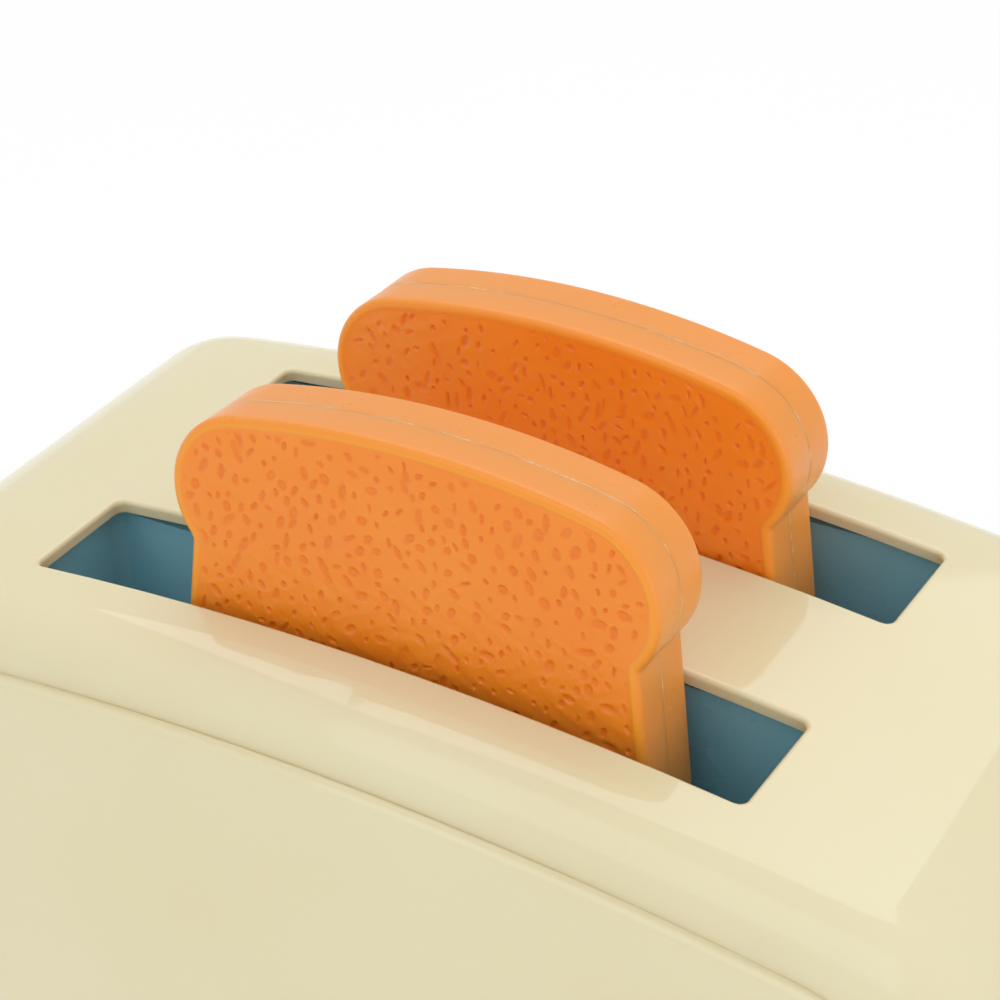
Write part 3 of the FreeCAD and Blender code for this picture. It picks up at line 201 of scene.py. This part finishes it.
def arc(centre, radius, start, end, step):
    # Points of an arc and their outward normals, from one angle to another in degrees
    count = max(3, round(abs(math.radians(end - start)) * radius / step))
    rows = []
    for index in range(count + 1):
        angle = math.radians(start + (end - start) * index / count)
        normal = (math.cos(angle), math.sin(angle))
        rows.append((centre[0] + radius * normal[0], centre[1] + radius * normal[1], *normal))
    return rows


def run(start, end, step):
    # Points of a straight side and their outward normals; the outline goes anticlockwise
    length = math.dist(start, end)
    count = max(2, round(length / step))
    normal = ((end[1] - start[1]) / length, -(end[0] - start[0]) / length)
    rows = []
    for index in range(count + 1):
        share = index / count
        x = start[0] + (end[0] - start[0]) * share
        z = start[1] + (end[1] - start[1]) * share
        rows.append((x, z, *normal))
    return rows


def waist_centre(waist, cheek, along, side_normal):
    # The centre of the waist's rounding, which touches the flared side and the underside of the cheek
    low, high = 0.0, WAIST_SEARCH
    for _ in range(HALVINGS):
        back = (low + high) / 2
        centre = Vector((waist, 0)) - along * back + side_normal * WAIST_RADIUS
        if (centre - Vector(cheek)).length > CHEEK_RADIUS + WAIST_RADIUS:
            high = back
        else:
            low = back
    return centre


def right_side():
    # The right half of the outline, from the middle of the foot to the middle of the crown
    cheek = (HEAD_HALF - CHEEK_RADIUS, CHEEK_HEIGHT)
    rise = HEAD_HEIGHT - CHEEK_HEIGHT
    crown = (cheek[0] ** 2 + rise ** 2 - CHEEK_RADIUS ** 2) / (2 * (rise - CHEEK_RADIUS))
    crown_angle = math.degrees(math.atan2(CHEEK_HEIGHT - HEAD_HEIGHT + crown, cheek[0]))
    low_angle = -math.degrees(math.asin(CHEEK_HEIGHT / CHEEK_RADIUS))
    waist = cheek[0] + CHEEK_RADIUS * math.cos(math.radians(low_angle))
    slope = math.degrees(math.atan(FLARE))
    side_normal = Vector((math.cos(math.radians(slope)), math.sin(math.radians(slope))))
    along = Vector((-side_normal.y, side_normal.x))
    centre = waist_centre(waist, cheek, along, side_normal)
    touch = centre - Vector(cheek)
    touch_angle = math.degrees(math.atan2(touch.y, touch.x))
    foot = HEAD_HEIGHT - HEIGHT
    foot_side = HEAD_HALF - FOOT_RADIUS
    flare_z = -(HEAD_HALF - waist) / FLARE
    corner = Vector((HEAD_HALF, flare_z))
    flare_end = centre - side_normal * WAIST_RADIUS
    flare_start = corner + (flare_end - corner) * FLARE_START
    rows = run((0, foot), (foot_side, foot), OUTLINE_STEP)
    rows += arc((foot_side, foot + FOOT_RADIUS), FOOT_RADIUS, -90, 0, OUTLINE_STEP)[1:]
    rows += run((HEAD_HALF, foot + FOOT_RADIUS), (HEAD_HALF, flare_z - SIDE_STOP), OUTLINE_STEP)[1:]
    rows += run(flare_start, flare_end, OUTLINE_STEP)
    hollow = arc(centre, WAIST_RADIUS, 180 + slope, 180 + touch_angle, OUTLINE_STEP / 3)[1:]
    rows += [(x, z, -nx, -nz) for x, z, nx, nz in hollow]
    rows += arc(cheek, CHEEK_RADIUS, touch_angle, crown_angle, OUTLINE_STEP)[1:]
    rows += arc((0, HEAD_HEIGHT - crown), crown, crown_angle, 90, OUTLINE_STEP)[1:]
    return rows


def outline():
    right = right_side()
    left = [(-x, z, -nx, nz) for x, z, nx, nz in reversed(right)]
    rows = np.array(right + left[1:-1])
    return rows[:, :2], rows[:, 2:]


def profile():
    # Rings from the seam to the inner edge of the border: inset from the outline, depth from the seam,
    # how far the moulding flash moves the ring out, and how much of the border's colour it takes
    half = THICKNESS / 2
    seam_end = 3 * SEAM_HALF
    rings = [
        (FLASH_RISE + SEAM_DEPTH + SEAM_LIP, 0.0, 0.0, 0.0),
        (FLASH_RISE + SEAM_DEPTH, 0.0, SEAM_DEPTH + FLASH_RISE, 0.0),
        (FLASH_RISE + FLASH_FOOT, SEAM_HALF, FLASH_FOOT + FLASH_SHOULDER * FLASH_RISE, 0.0),
        (FLASH_RISE, seam_end, 0.0, 0.0),
    ]
    side_end = half - EDGE_RADIUS
    for index in range(1, SIDE_RINGS + 1):
        depth = seam_end + (side_end - seam_end) * index / SIDE_RINGS
        rings.append((FLASH_RISE * (1 - index / SIDE_RINGS), depth, 0.0, 0.0))
    for index in range(1, EDGE_RINGS + 1):
        angle = math.pi / 2 * index / EDGE_RINGS
        inset = EDGE_RADIUS * (1 - math.cos(angle))
        rings.append((inset, side_end + EDGE_RADIUS * math.sin(angle), 0.0, index / EDGE_RINGS))
    for share, drop, edge in BORDER_RINGS:
        inset = EDGE_RADIUS + (BORDER_WIDTH - EDGE_RADIUS) * share
        rings.append((inset, half - BORDER_STEP * drop, 0.0, edge))
    return rings


def flash(count, random):
    # Broken stretches of moulding flash round the seam, from 0 for none to 1 for full height
    places = np.arange(count)
    height = np.zeros(count)
    for _ in range(FLASH_STRETCHES):
        middle = random.uniform(0, count)
        reach = random.uniform(*FLASH_REACH)
        away = np.abs((places - middle + count / 2) % count - count / 2)
        height = np.maximum(height, np.clip(FLASH_PEAK - away / reach, 0, 1))
    return height * random.uniform(*FLASH_LEVEL, count)


def pits(random):
    # Small uneven dents: place, half length, half width, direction, depth, waviness and its turn
    places = []
    for _ in range(PIT_TRIES):
        spot = (random.uniform(-HEAD_HALF, HEAD_HALF), random.uniform(HEAD_HEIGHT - HEIGHT, HEAD_HEIGHT))
        gap = PIT_SPACING * random.uniform(*PIT_SPREAD)
        if not places or np.hypot(*(np.array(places) - spot).T).min() > gap:
            places.append(spot)
    rows = []
    for spot in places:
        radius = PIT_RADIUS[0] + (PIT_RADIUS[1] - PIT_RADIUS[0]) * random.uniform() ** PIT_RADIUS_SKEW
        stretch = random.uniform(*PIT_STRETCH)
        turn = random.normal(PIT_TURN_MEAN, PIT_TURN_SPREAD)
        depth = random.uniform(*PIT_DEPTH)
        wave = random.uniform(*PIT_WAVE)
        phase = random.uniform(*PIT_PHASE)
        rows.append((spot, radius * stretch, radius / stretch ** 0.5, turn, depth, wave, phase))
    return rows


def pit_reach(pit, places):
    # 1 on the pit's outline, less inside it
    spot, long, wide, turn, _, wave, phase = pit
    dx, dz = (places - np.array(spot)).T
    u = (dx * math.cos(turn) + dz * math.sin(turn)) / long
    v = (dz * math.cos(turn) - dx * math.sin(turn)) / wide
    return np.hypot(u, v) * (1 + wave * np.sin(2 * np.arctan2(v, u) + phase) + wave * u / (1 + np.abs(u)))


def near_pit(pit, places):
    return np.abs(places - np.array(pit[0])).max(axis=1) < PIT_ZONE


def pit_points(pit):
    # Places on rings round a pit, so that its wall and rim have their own vertices
    spot, long, wide, turn, _, wave, phase = pit
    rows = []
    for level, count in PIT_RINGS:
        for index in range(count):
            angle = math.tau * (index + 0.5 * (count % 2)) / count
            reach = level / (1 + wave * math.sin(2 * angle + phase))
            u = long * reach * math.cos(angle)
            v = wide * reach * math.sin(angle)
            x = spot[0] + u * math.cos(turn) - v * math.sin(turn)
            z = spot[1] + u * math.sin(turn) + v * math.cos(turn)
            rows.append((x, z))
    return rows


def crumb(places, margin, rows):
    # How far the face lies back at each place, and how much painted pit shade it takes; both fade out at
    # the border
    dents = np.zeros(len(places))
    painted_pit_shade = np.zeros(len(places))
    rims = np.zeros(len(places))
    for pit in rows:
        near = near_pit(pit, places)
        reach = pit_reach(pit, places[near])
        wall = np.clip((WALL_REACH - reach) / WALL_WIDTH, 0, 1)
        dents[near] = np.maximum(dents[near], pit[4] * wall * wall * (3 - 2 * wall))
        # Painted shade: darker orange inside each pit
        inside = np.clip((PIT_SHADE_REACH - reach) / PIT_SHADE_WIDTH, 0, 1)
        painted_pit_shade[near] = np.maximum(painted_pit_shade[near], inside * (PIT_SHADE_MIDDLE + PIT_SHADE_GAIN * np.clip(reach, 0, 1)))
        rims[near] = np.maximum(rims[near], RIM_HEIGHT * np.exp(-((reach - RIM_REACH) / RIM_WIDTH) ** 2))
    fade = np.clip((margin - FADE_START) / FADE_WIDTH, 0, 1)
    x, z = places.T
    swell = 0.0
    for height, across, bend, slow_up, upward, sway, slow_across in SWELLS:
        swell += (
            height
            * np.sin(x * across + bend * np.sin(z * slow_up))
            * np.sin(z * upward + sway * np.sin(x * slow_across))
        )
    return (dents - rims * (dents < SHALLOW) + swell) * fade, painted_pit_shade * fade


def inside_ring(places, ring):
    # Whether each place lies inside the closed ring, by counting the sides that it looks across
    inside = np.zeros(len(places), dtype=bool)
    for (x0, z0), (x1, z1) in zip(ring, np.roll(ring, -1, axis=0)):
        crosses = (z0 > places[:, 1]) != (z1 > places[:, 1])
        share = (places[:, 1] - z0) / (z1 - z0 if z1 != z0 else 1e-9)
        inside ^= crosses & (places[:, 0] < x0 + share * (x1 - x0))
    return inside


def face_places(edge_ring, pit_rows):
    # A lattice of places inside the border with rings round each pit, and how far each is from the border
    row = FACE_STEP * math.sqrt(3) / 2
    xs = np.arange(-HEAD_HALF, HEAD_HALF, FACE_STEP)
    zs = np.arange(HEAD_HEIGHT - HEIGHT, HEAD_HEIGHT, row)
    grid_x, grid_z = np.meshgrid(xs, zs)
    grid_x = grid_x + (np.arange(len(zs)) % 2)[:, None] * FACE_STEP / 2
    places = np.stack([grid_x.ravel(), grid_z.ravel()], axis=1)
    open_face = np.ones(len(places), dtype=bool)
    for pit in pit_rows:
        near = near_pit(pit, places)
        open_face[near] &= pit_reach(pit, places[near]) > PIT_CLEAR
    rings = np.array([point for pit in pit_rows for point in pit_points(pit)])
    places = np.concatenate([places[open_face], rings])
    _, single = np.unique(np.round(places / SAME_PLACE), axis=0, return_index=True)
    places = places[np.sort(single)]
    places = places[inside_ring(places, edge_ring)]
    margin = np.full(len(places), np.inf)
    for x, z in edge_ring:
        margin = np.minimum(margin, np.hypot(places[:, 0] - x, places[:, 1] - z))
    keep = margin > FACE_STEP / 2
    return places[keep], margin[keep]


def side_rings(points, normals, raised):
    # The vertices between the seam and the face, and the shares that the material reads there
    vertices = []
    shares = {"border": [], "seam": [], "flash": []}
    for inset, depth, rise, edge in profile():
        ring = points - normals * (inset + SKIN_GAP - rise * raised)[:, None]
        vertices += [(x, -depth, z) for x, z in ring]
        shares["border"] += [edge] * len(points)
        shares["seam"] += list((1 - raised) * (depth < 2 * SEAM_HALF))
        shares["flash"] += list(raised * (rise > 0))
    return vertices, shares


def ring_faces(rings, count):
    faces = []
    for low in range(0, (rings - 1) * count, count):
        high = low + count
        for index in range(count):
            after = (index + 1) % count
            faces.append((low + index, low + after, high + after, high + index))
    return faces


def pitted_face(points, normals, pit_rows, last_ring):
    # The face inside the last ring: its vertices, how much painted pit shade each takes, and its triangles.
    # The vertices of the ring itself are there already, from number last_ring on
    count = len(points)
    inset, depth, _, _ = profile()[-1]
    edge_ring = points - normals * (inset + SKIN_GAP)
    inner, margin = face_places(edge_ring, pit_rows)
    flat = [Vector(place) for place in edge_ring] + [Vector(place) for place in inner]
    loop = [list(range(count))]
    _, _, triangles, sources, _, _ = delaunay_2d_cdt(flat, [], loop, KEEP_INSIDE, MERGE_DISTANCE)
    drop, pit_shade_share = crumb(inner, margin, pit_rows)
    vertices = []
    dents = []
    numbers = []
    for source in sources:
        place = source[0] - count
        if place < 0:
            numbers.append(last_ring + source[0])
            continue
        numbers.append(last_ring + count + len(vertices))
        x, z = inner[place]
        vertices.append((x, -(depth - drop[place]), z))
        dents.append(float(pit_shade_share[place]))
    faces = [tuple(numbers[corner] for corner in triangle) for triangle in triangles]
    return vertices, dents, faces


def turn_outward(mesh):
    # The half is open at the seam, so the foremost face tells which way the normals go
    shell = bmesh.new()
    shell.from_mesh(mesh)
    bmesh.ops.recalc_face_normals(shell, faces=shell.faces)
    front = min(shell.faces, key=lambda face: face.calc_center_median().y)
    if front.normal.y > 0:
        bmesh.ops.reverse_faces(shell, faces=shell.faces)
    shell.to_mesh(mesh)
    shell.free()


def slice_half_mesh(seed):
    # The half that faces the front, in the slice's own frame, in metres
    random = np.random.default_rng(seed)
    pit_rows = pits(random)
    points, normals = outline()
    count = len(points)
    vertices, shares = side_rings(points, normals, flash(count, random))
    inner, dents, triangles = pitted_face(points, normals, pit_rows, len(vertices) - count)
    # The last ring lies on the face, so it has no share of the side's colour
    side = [1.0 - edge for edge in shares["border"][:-count]]
    layers = {"pit_shade_share": [0.0] * len(vertices) + dents, "side": side + [0.0] * (count + len(inner))}
    for name, rows in shares.items():
        layers[name] = rows + [0.0] * len(inner)
    faces = ring_faces(len(vertices) // count, count) + triangles
    mesh = bpy.data.meshes.new("slice_half")
    mesh.from_pydata([Vector(vertex) * MM for vertex in vertices + inner], [], faces)
    for name, values in layers.items():
        attribute = mesh.attributes.new(name, "FLOAT", "POINT")
        attribute.data.foreach_set("value", np.array(values, dtype=np.float32))
    turn_outward(mesh)
    mesh.shade_smooth()
    return mesh


def slice_frame(place):
    # The slice's own frame at its waist: leant to the back, turned, and set down on the tray
    lean = math.radians(place["lean"])
    foot = HEIGHT - HEAD_HEIGHT - EDGE_RADIUS
    edge = THICKNESS / 2 - EDGE_RADIUS
    waist = place["seat"] + EDGE_RADIUS + foot * math.cos(lean) + edge * math.sin(lean)
    middle = (SLOT_ORIGIN + Vector((place["x"], place["y"], waist))) * MM
    turned = Matrix.Rotation(math.radians(place["turn"]), 4, "Z")
    return Matrix.Translation(middle) @ turned @ Matrix.Rotation(-lean, 4, "X")


def make_slices(material):
    for body, place in SLICES.items():
        pattern = slice_half_mesh(place["seed"])
        for side, spin in HALVES.items():
            mesh = pattern.copy()
            mesh.transform(slice_frame(place) @ Matrix.Rotation(spin, 4, "Z"))
            mesh.materials.append(material)
            name = body + "_" + side
            piece = bpy.data.objects.new(name + "_crumb", mesh)
            bpy.context.scene.collection.objects.link(piece)
            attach(piece, body)
            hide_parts(name)


def make_springs():
    # Each coil is its own copy of its node's mesh, attached to the toaster's body
    for name in SPRINGS:
        spring = bpy.data.objects.new(name + "_coil", frame["nodes"][name].data.copy())
        bpy.context.scene.collection.objects.link(spring)
        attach(spring, "toaster_body")
        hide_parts(name)
        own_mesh(spring)


# Parts that materials are made of

def new_material(name):
    material = bpy.data.materials.new(name)
    material.use_nodes = True
    nodes = material.node_tree.nodes
    nodes.clear()
    shader = nodes.new("ShaderNodeBsdfPrincipled")
    output = nodes.new("ShaderNodeOutputMaterial")
    material.node_tree.links.new(shader.outputs["BSDF"], output.inputs["Surface"])
    return material, shader


def feed(shader, name, source):
    shader.id_data.links.new(source, shader.inputs[name])


def settings(shader, values):
    for name, value in values.items():
        shader.inputs[name].default_value = value


def noise(material, scale, detail=3.0, stretch=(1, 1, 1)):
    # Waves to the metre; a stretch under 1 draws them out along that axis
    nodes = material.node_tree.nodes
    links = material.node_tree.links
    place = nodes.new("ShaderNodeTexCoord")
    mapping = nodes.new("ShaderNodeMapping")
    mapping.inputs["Scale"].default_value = stretch
    texture = nodes.new("ShaderNodeTexNoise")
    texture.inputs["Scale"].default_value = scale
    texture.inputs["Detail"].default_value = detail
    links.new(place.outputs["Object"], mapping.inputs["Vector"])
    links.new(mapping.outputs["Vector"], texture.inputs["Vector"])
    return texture.outputs["Fac"]


def ramp(material, source, stops):
    # A ramp between two stops, each a position and a colour
    node = material.node_tree.nodes.new("ShaderNodeValToRGB")
    for element, (position, colour) in zip(node.color_ramp.elements, stops):
        element.position = position
        element.color = colour
    material.node_tree.links.new(source, node.inputs["Fac"])
    return node.outputs["Color"]


def uneven(material, source, first, second, end=UNEVEN_END):
    return ramp(material, source, [(UNEVEN_START, first), (end, second)])


def attribute(material, name):
    node = material.node_tree.nodes.new("ShaderNodeAttribute")
    node.attribute_name = name
    return node.outputs["Fac"]


def blend(material, share, first, second):
    # Mixes two colours; each may be a colour or a socket
    node = material.node_tree.nodes.new("ShaderNodeMix")
    node.data_type = "RGBA"
    links = material.node_tree.links
    links.new(share, node.inputs["Factor"])
    for socket, value in ((node.inputs["A"], first), (node.inputs["B"], second)):
        if isinstance(value, tuple):
            socket.default_value = value
        else:
            links.new(value, socket)
    return node.outputs["Result"]


def bump(material, shader, source, distance):
    node = material.node_tree.nodes.new("ShaderNodeBump")
    node.inputs["Distance"].default_value = distance
    node.inputs["Strength"].default_value = 1.0
    material.node_tree.links.new(source, node.inputs["Height"])
    feed(shader, "Normal", node.outputs["Normal"])


def openness(material, reach):
    # How open the surface is within a short reach, from 0 in a tight corner to 1 in the open
    node = material.node_tree.nodes.new("ShaderNodeAmbientOcclusion")
    node.samples = CREASE_SAMPLES
    node.only_local = True
    node.inputs["Distance"].default_value = reach
    return node.outputs["AO"]


# Materials

def moulded(name, colour, deep, roughness, grain, grain_scale):
    # Injection-moulded plastic: slow changes of colour, an uneven gloss and a faint orange-peel surface
    material, shader = new_material(name)
    feed(shader, "Base Color", uneven(material, noise(material, TONE_SCALE, 2.0), colour, deep))
    low = grey(roughness * GLOSS_LOW)
    high = grey(roughness * GLOSS_HIGH)
    patches = noise(material, GLOSS_SCALE, 4.0)
    feed(shader, "Roughness", uneven(material, patches, low, high, UNEVEN_WIDE_END))
    settings(shader, {"IOR": 1.5, "Specular IOR Level": 0.5})
    bump(material, shader, noise(material, grain_scale, 2.0), grain)
    return material, shader


def housing_plastic():
    # Glossy cream plastic, with painted shade that deepens its colour in the crease
    material, shader = moulded(
        "cream_housing", CREAM, CREAM_DEEP, roughness=0.05, grain=0.000003, grain_scale=260.0
    )
    tone = shader.inputs["Base Color"].links[0].from_socket
    # Painted shade: the colour darkens where the crease closes the surface in
    stops = [(CREASE_DARKEST, grey(1.0)), (CREASE_OPEN, grey(0.0))]
    painted_crease_shade = ramp(material, openness(material, CREASE_REACH), stops)
    feed(shader, "Base Color", blend(material, painted_crease_shade, tone, CREAM_PAINTED_CREASE_SHADE))
    settings(shader, {
        "Subsurface Weight": 0.15,
        "Subsurface Radius": (0.003, 0.0025, 0.0015),
        "Subsurface Scale": 1.0,
    })
    return material


def slice_plastic():
    # Orange plastic: painted shade makes it deeper in the pits and painted sheen makes it paler on the
    # side; it is paler also on the border and the flash of the seam
    material, shader = new_material("crumb_plastic")
    colour = uneven(material, noise(material, 45.0), ORANGE, ORANGE_DEEP, UNEVEN_WIDE_END)
    # Painted shade: darker orange in the pits
    pit = ramp(material, attribute(material, "pit_shade_share"), [(0.0, grey(0.0)), (1.0, grey(0.55))])
    colour = blend(material, pit, colour, ORANGE_PIT_SHADE)
    side = attribute(material, "side")
    colour = blend(material, attribute(material, "border"), colour, ORANGE_BORDER)
    # Painted sheen: the side takes a paler orange
    colour = blend(material, side, colour, ORANGE_SIDE_SHEEN)
    colour = blend(material, attribute(material, "seam"), colour, ORANGE_SEAM)
    colour = blend(material, attribute(material, "flash"), colour, ORANGE_FLASH)
    feed(shader, "Base Color", colour)
    feed(shader, "Roughness", uneven(material, noise(material, 220.0, 4.0), grey(0.27), grey(0.35)))
    settings(shader, {
        "Subsurface Weight": 0.3,
        "Subsurface Radius": (0.004, 0.0018, 0.0006),
        "Subsurface Scale": 1.0,
        "IOR": 1.48,
    })
    streaks = noise(material, 500.0, stretch=(1, 1, 0.08))
    bump(material, shader, blend(material, side, noise(material, 1600.0), streaks), 0.00002)
    return material


def steel():
    # Steel with streaks along its height, in its colour, gloss and surface
    material, shader = new_material("drawn_steel")
    streaks = noise(material, 300.0, stretch=(1, 1, 0.05))
    feed(shader, "Base Color", uneven(material, streaks, grey(0.55), grey(0.7)))
    feed(shader, "Roughness", uneven(material, streaks, grey(0.22), grey(0.38)))
    settings(shader, {"Metallic": 1.0})
    bump(material, shader, streaks, 0.000008)
    return material


def rubber():
    material, shader = new_material("foot_rubber")
    feed(shader, "Base Color", uneven(material, noise(material, 120.0, 4.0), grey(0.012), grey(0.03)))
    feed(shader, "Roughness", uneven(material, noise(material, 200.0), grey(0.6), grey(0.8)))
    bump(material, shader, noise(material, 1400.0), 0.00003)
    return material


def dress_nodes():
    # The slices' nodes are replaced, so their slot has no material here
    satin = {"roughness": 0.3, "grain": 0.000015, "grain_scale": 700.0}
    teal, _ = moulded("teal_plastic", TEAL, TEAL_DEEP, **satin)
    # The wells take a paler copy of the teal plastic, painted light against the shade in the slots
    painted_light_well, _ = moulded("well_plastic_painted_light", TEAL_WELL_PAINTED_LIGHT, TEAL_WELL_PAINTED_LIGHT_DEEP, **satin)
    white, _ = moulded(
        "white_plastic", WHITE, WHITE_DEEP, roughness=0.45, grain=0.00002, grain_scale=700.0
    )
    by_slot = {
        "housing": housing_plastic(),
        "blue_parts": teal,
        "inner_plastic": white,
        "steel": steel(),
        "rubber": rubber(),
    }
    for part in frame["record"]["subparts"]:
        node = frame["nodes"][part["node"]]
        material = painted_light_well if part["node"] in WELLS else by_slot.get(part["material_slot"])
        if material:
            for slot in node.material_slots:
                slot.material = material


# Floor, light and camera

def make_floor():
    # A pale floor that keeps the object's shadow; a share of plain white is added for the camera's rays
    half = FLOOR_HALF
    corners = [(-half, -half, 0), (half, -half, 0), (half, half, 0), (-half, half, 0)]
    mesh = bpy.data.meshes.new("floor")
    mesh.from_pydata(corners, [], [(0, 1, 2, 3)])
    floor = bpy.data.objects.new("floor", mesh)
    bpy.context.scene.collection.objects.link(floor)
    material, shader = new_material("floor_white")
    nodes = material.node_tree.nodes
    links = material.node_tree.links
    feed(shader, "Base Color", uneven(material, noise(material, 3.0), grey(0.96), grey(0.98)))
    settings(shader, {"Roughness": 0.7, "Specular IOR Level": 0.2})
    glow = nodes.new("ShaderNodeEmission")
    glow.inputs["Strength"].default_value = 1.0
    path = nodes.new("ShaderNodeLightPath")
    seen = nodes.new("ShaderNodeMath")
    seen.operation = "MAXIMUM"
    links.new(path.outputs["Is Camera Ray"], seen.inputs[0])
    links.new(path.outputs["Is Glossy Ray"], seen.inputs[1])
    share = nodes.new("ShaderNodeMath")
    share.operation = "MULTIPLY"
    share.inputs[1].default_value = FLOOR_WHITE
    links.new(seen.outputs[0], share.inputs[0])
    mix = nodes.new("ShaderNodeMixShader")
    output = next(node for node in nodes if node.type == "OUTPUT_MATERIAL")
    links.new(share.outputs[0], mix.inputs["Fac"])
    links.new(shader.outputs["BSDF"], mix.inputs[1])
    links.new(glow.outputs["Emission"], mix.inputs[2])
    links.new(mix.outputs["Shader"], output.inputs["Surface"])
    mesh.materials.append(material)


def area_light(name, place, width, height, power):
    data = bpy.data.lights.new(name, "AREA")
    data.shape = "RECTANGLE"
    data.size = width
    data.size_y = height
    data.energy = power
    lamp = bpy.data.objects.new(name, data)
    aim = (Vector(LAMP_TARGET) - Vector(place)).to_track_quat("-Z", "Y")
    lamp.matrix_world = Matrix.Translation(place) @ aim.to_matrix().to_4x4()
    bpy.context.scene.collection.objects.link(lamp)


def make_lights():
    # The world lights the object at its fill strength, and the camera sees it as plain white
    world = bpy.data.worlds.new("studio")
    bpy.context.scene.world = world
    world.use_nodes = True
    nodes = world.node_tree.nodes
    links = world.node_tree.links
    nodes.clear()
    output = nodes.new("ShaderNodeOutputWorld")
    path = nodes.new("ShaderNodeLightPath")
    mix = nodes.new("ShaderNodeMixShader")
    for socket, strength in ((mix.inputs[1], FILL_STRENGTH), (mix.inputs[2], 1.0)):
        background = nodes.new("ShaderNodeBackground")
        background.inputs["Color"].default_value = grey(1.0)
        background.inputs["Strength"].default_value = strength
        links.new(background.outputs[0], socket)
    links.new(path.outputs["Is Camera Ray"], mix.inputs["Fac"])
    links.new(mix.outputs[0], output.inputs["Surface"])
    for name, lamp in LAMPS.items():
        area_light(name, **lamp)


def make_camera():
    right = Vector(CAMERA_RIGHT)
    up = -Vector(CAMERA_DOWN)
    back = right.cross(up)
    data = bpy.data.cameras.new("camera")
    data.sensor_width = SENSOR_WIDTH
    data.lens = CAMERA_FOCUS * SENSOR_WIDTH / IMAGE_WIDTH
    data.clip_start = CAMERA_NEAR
    data.clip_end = CAMERA_FAR
    camera = bpy.data.objects.new("camera", data)
    turned = Matrix((right, up, back)).transposed().to_4x4()
    camera.matrix_world = Matrix.Translation(CAMERA_PLACE) @ turned
    bpy.context.scene.collection.objects.link(camera)
    bpy.context.scene.camera = camera


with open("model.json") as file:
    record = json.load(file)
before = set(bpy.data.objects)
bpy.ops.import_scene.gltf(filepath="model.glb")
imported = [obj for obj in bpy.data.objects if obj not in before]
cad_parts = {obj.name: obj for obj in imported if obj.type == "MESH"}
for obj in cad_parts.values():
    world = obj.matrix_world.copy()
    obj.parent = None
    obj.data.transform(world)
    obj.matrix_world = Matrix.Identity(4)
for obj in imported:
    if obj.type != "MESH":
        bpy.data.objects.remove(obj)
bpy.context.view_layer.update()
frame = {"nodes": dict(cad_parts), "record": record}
bpy.context.scene.view_settings.view_transform = "Standard"
dress_nodes()
make_slices(slice_plastic())
make_springs()
make_floor()
make_lights()
make_camera()
